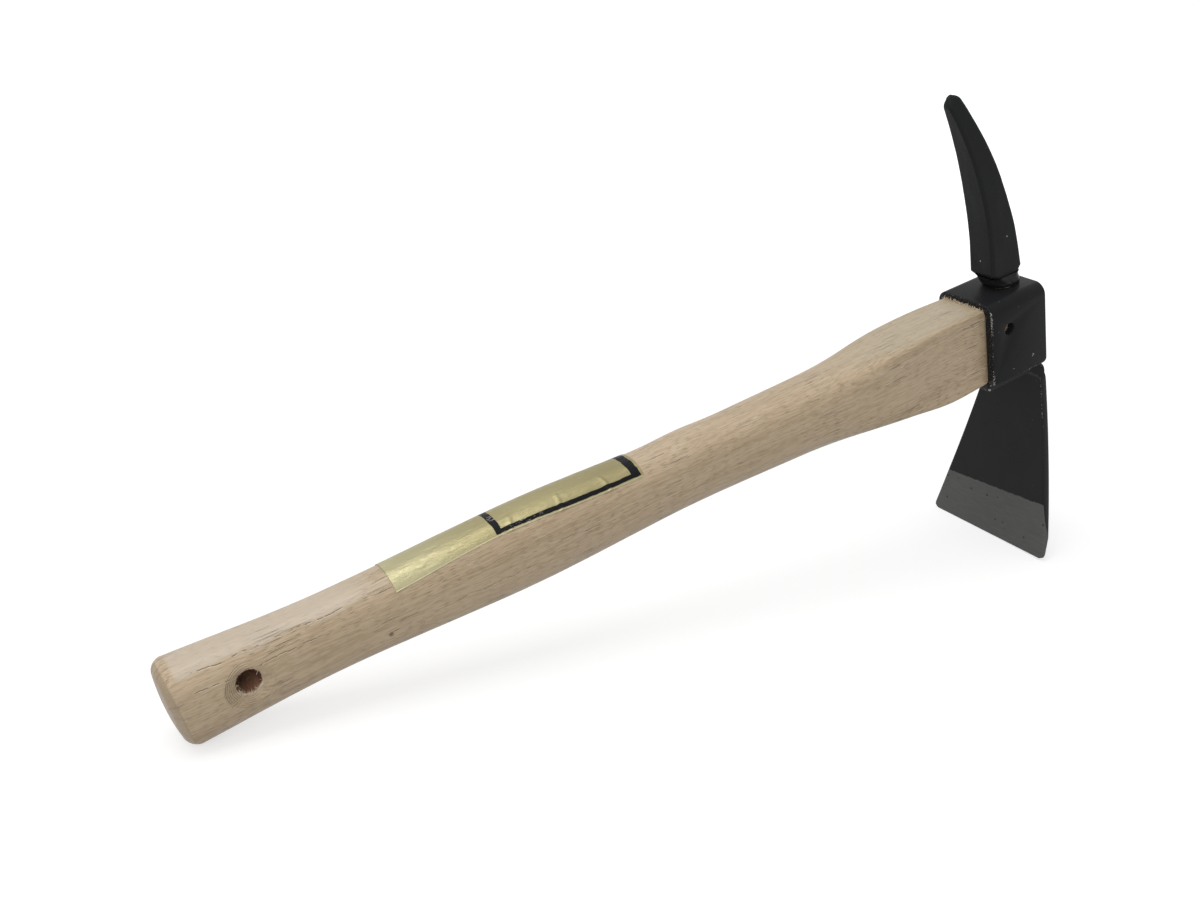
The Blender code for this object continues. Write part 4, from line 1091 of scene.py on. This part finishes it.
def makeFibreFinish():
    material, g, shader, place = newMaterial("torn_fibre", {"Roughness": 0.7, "Specular IOR Level": 0.3})
    tone = g.spread(g.noise(place, 1.5), 0.35, 0.65)
    g.fill(shader, {
        "Base Color": g.blend(tone, fibreTone["pale"], fibreTone["deep"]),
        "Normal": g.relief(g.noise(place, 5.0), *fibreTone["relief"]),
    })
    return material


tornFibre = makeFibreFinish()
finishPiece(makeMouthFibres(), "mouth_fibres", tornFibre, [], 50.0)
finishPiece(makeHoleSplinters(), "hole_splinters", tornFibre, [], 50.0)
print("label and fibres laid")


# Wedge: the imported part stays, in dull bare steel with some rust

wedge = {
    "dark": (0.20, 0.195, 0.19, 1), "light": (0.34, 0.33, 0.32, 1), "rust": (0.12, 0.065, 0.035, 1),
    "relief": (0.4, 0.0002),
}


def makeWedgeSteel():
    material, g, shader, place = newMaterial("wedge_steel", {"Specular IOR Level": 0.5})
    strokes = g.noise(place, (1.2, 2.0, 0.15), 4.0, 0.6)
    rust = g.spread(g.noise(place, 0.35, 4.0, 0.65), 0.50, 0.68)
    brushed = (g.spread(strokes, 0.3, 0.7), wedge["light"])
    g.fill(shader, {
        "Base Color": g.coats(wedge["dark"], brushed, (g.product(rust, 0.7), wedge["rust"])),
        "Metallic": g.spread(rust, 0.0, 1.0, 0.85, 0.15),
        "Roughness": g.spread(strokes, 0.3, 0.7, 0.38, 0.58),
        "Normal": g.relief(g.total(strokes, rust), *wedge["relief"]),
    })
    return material


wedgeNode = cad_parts["handle_wedge"]
wedgeNode.data.materials.clear()
wedgeNode.data.materials.append(makeWedgeSteel())


# Studio: plain pale floor, soft light from above and from the left, and the photograph's viewing angle

studio = {
    "floorSize": 24.0, "floorColour": (0.45, 0.45, 0.45, 1),
    # metres from the object where the floor's glow is least and full, and how strong it is there
    "glowReach": (0.30, 1.2), "glow": (0.64, 1.0),
    "worldSides": (-1.0, 0.6), "worldLight": (0.85, 0.42),  # stronger from the left
    "lamps": (  # name, place, aim, size, power
        ("overhead", (-0.42, 0.10, 1.9), (-0.08, 0.0, 0.05), 1.2, 13.4),
        ("left_front", (-1.20, -1.50, 1.0), (-0.10, 0.0, 0.08), 1.4, 11.0),
    ),
    "cameraPlace": (-0.32418, -0.48663, 0.3202), "cameraTurn": (68.142, -2.006, -30.458), "lens": 42.096,
}


def seenRays(g):  # 1 for what the camera sees, also in a reflection or through a piece
    rays = g.node("LightPath").outputs
    direct = g.total(rays["Is Camera Ray"], rays["Is Glossy Ray"])
    return g.math("ADD", direct, rays["Is Transmission Ray"], True)


def makeFloor():
    bm = bmesh.new()
    bmesh.ops.create_grid(bm, x_segments=1, y_segments=1, size=studio["floorSize"] / 2)
    mesh = bpy.data.meshes.new("floor")
    bm.to_mesh(mesh)
    bm.free()
    floor = bpy.data.objects.new("floor", mesh)
    bpy.context.scene.collection.objects.link(floor)
    material = bpy.data.materials.new("floor_white")
    material.use_nodes = True
    material.node_tree.nodes.clear()
    g = Graph(material.node_tree)
    away = g.distance(g.node("TexCoord").outputs["Object"], (0.0, 0.0, 0.0))
    strength = g.product(seenRays(g), g.spread(away, *studio["glowReach"], *studio["glow"]))
    cover = g.node("BsdfDiffuse", {"Color": studio["floorColour"]}).outputs[0]
    glow = g.node("Emission", {"Color": (1, 1, 1, 1), "Strength": strength}).outputs[0]
    g.node("OutputMaterial", {"Surface": g.node("AddShader", {0: cover, 1: glow}).outputs[0]})
    mesh.materials.append(material)


def makeWorld():
    world = bpy.data.worlds.new("studio")
    bpy.context.scene.world = world
    world.use_nodes = True
    g = Graph(world.node_tree)
    side = g.split(g.node("TexCoord").outputs["Generated"])[0]
    light = g.spread(side, *studio["worldSides"], *studio["worldLight"], "LINEAR")
    strength = g.spread(seenRays(g), 0.0, 1.0, light, 1.0, "LINEAR")
    g.fill(world.node_tree.nodes["Background"], {"Color": (1, 1, 1, 1), "Strength": strength})


def makeLamps():
    for name, place, aim, size, power in studio["lamps"]:
        light = bpy.data.lights.new(name, "AREA")
        light.size = size
        light.energy = power
        lamp = bpy.data.objects.new(name, light)
        lamp.location = place
        lamp.rotation_euler = (Vector(aim) - Vector(place)).to_track_quat("-Z", "Y").to_euler()
        bpy.context.scene.collection.objects.link(lamp)


def makeCamera():
    data = bpy.data.cameras.new("photo_view")
    data.lens = studio["lens"]
    data.sensor_width = 36.0
    data.clip_start = 0.01
    camera = bpy.data.objects.new("photo_view", data)
    camera.location = studio["cameraPlace"]
    camera.rotation_euler = [math.radians(a) for a in studio["cameraTurn"]]
    bpy.context.scene.collection.objects.link(camera)
    bpy.context.scene.camera = camera


makeFloor()
makeWorld()
makeLamps()
makeCamera()
bpy.context.scene.view_settings.view_transform = "Standard"
print("studio lit")
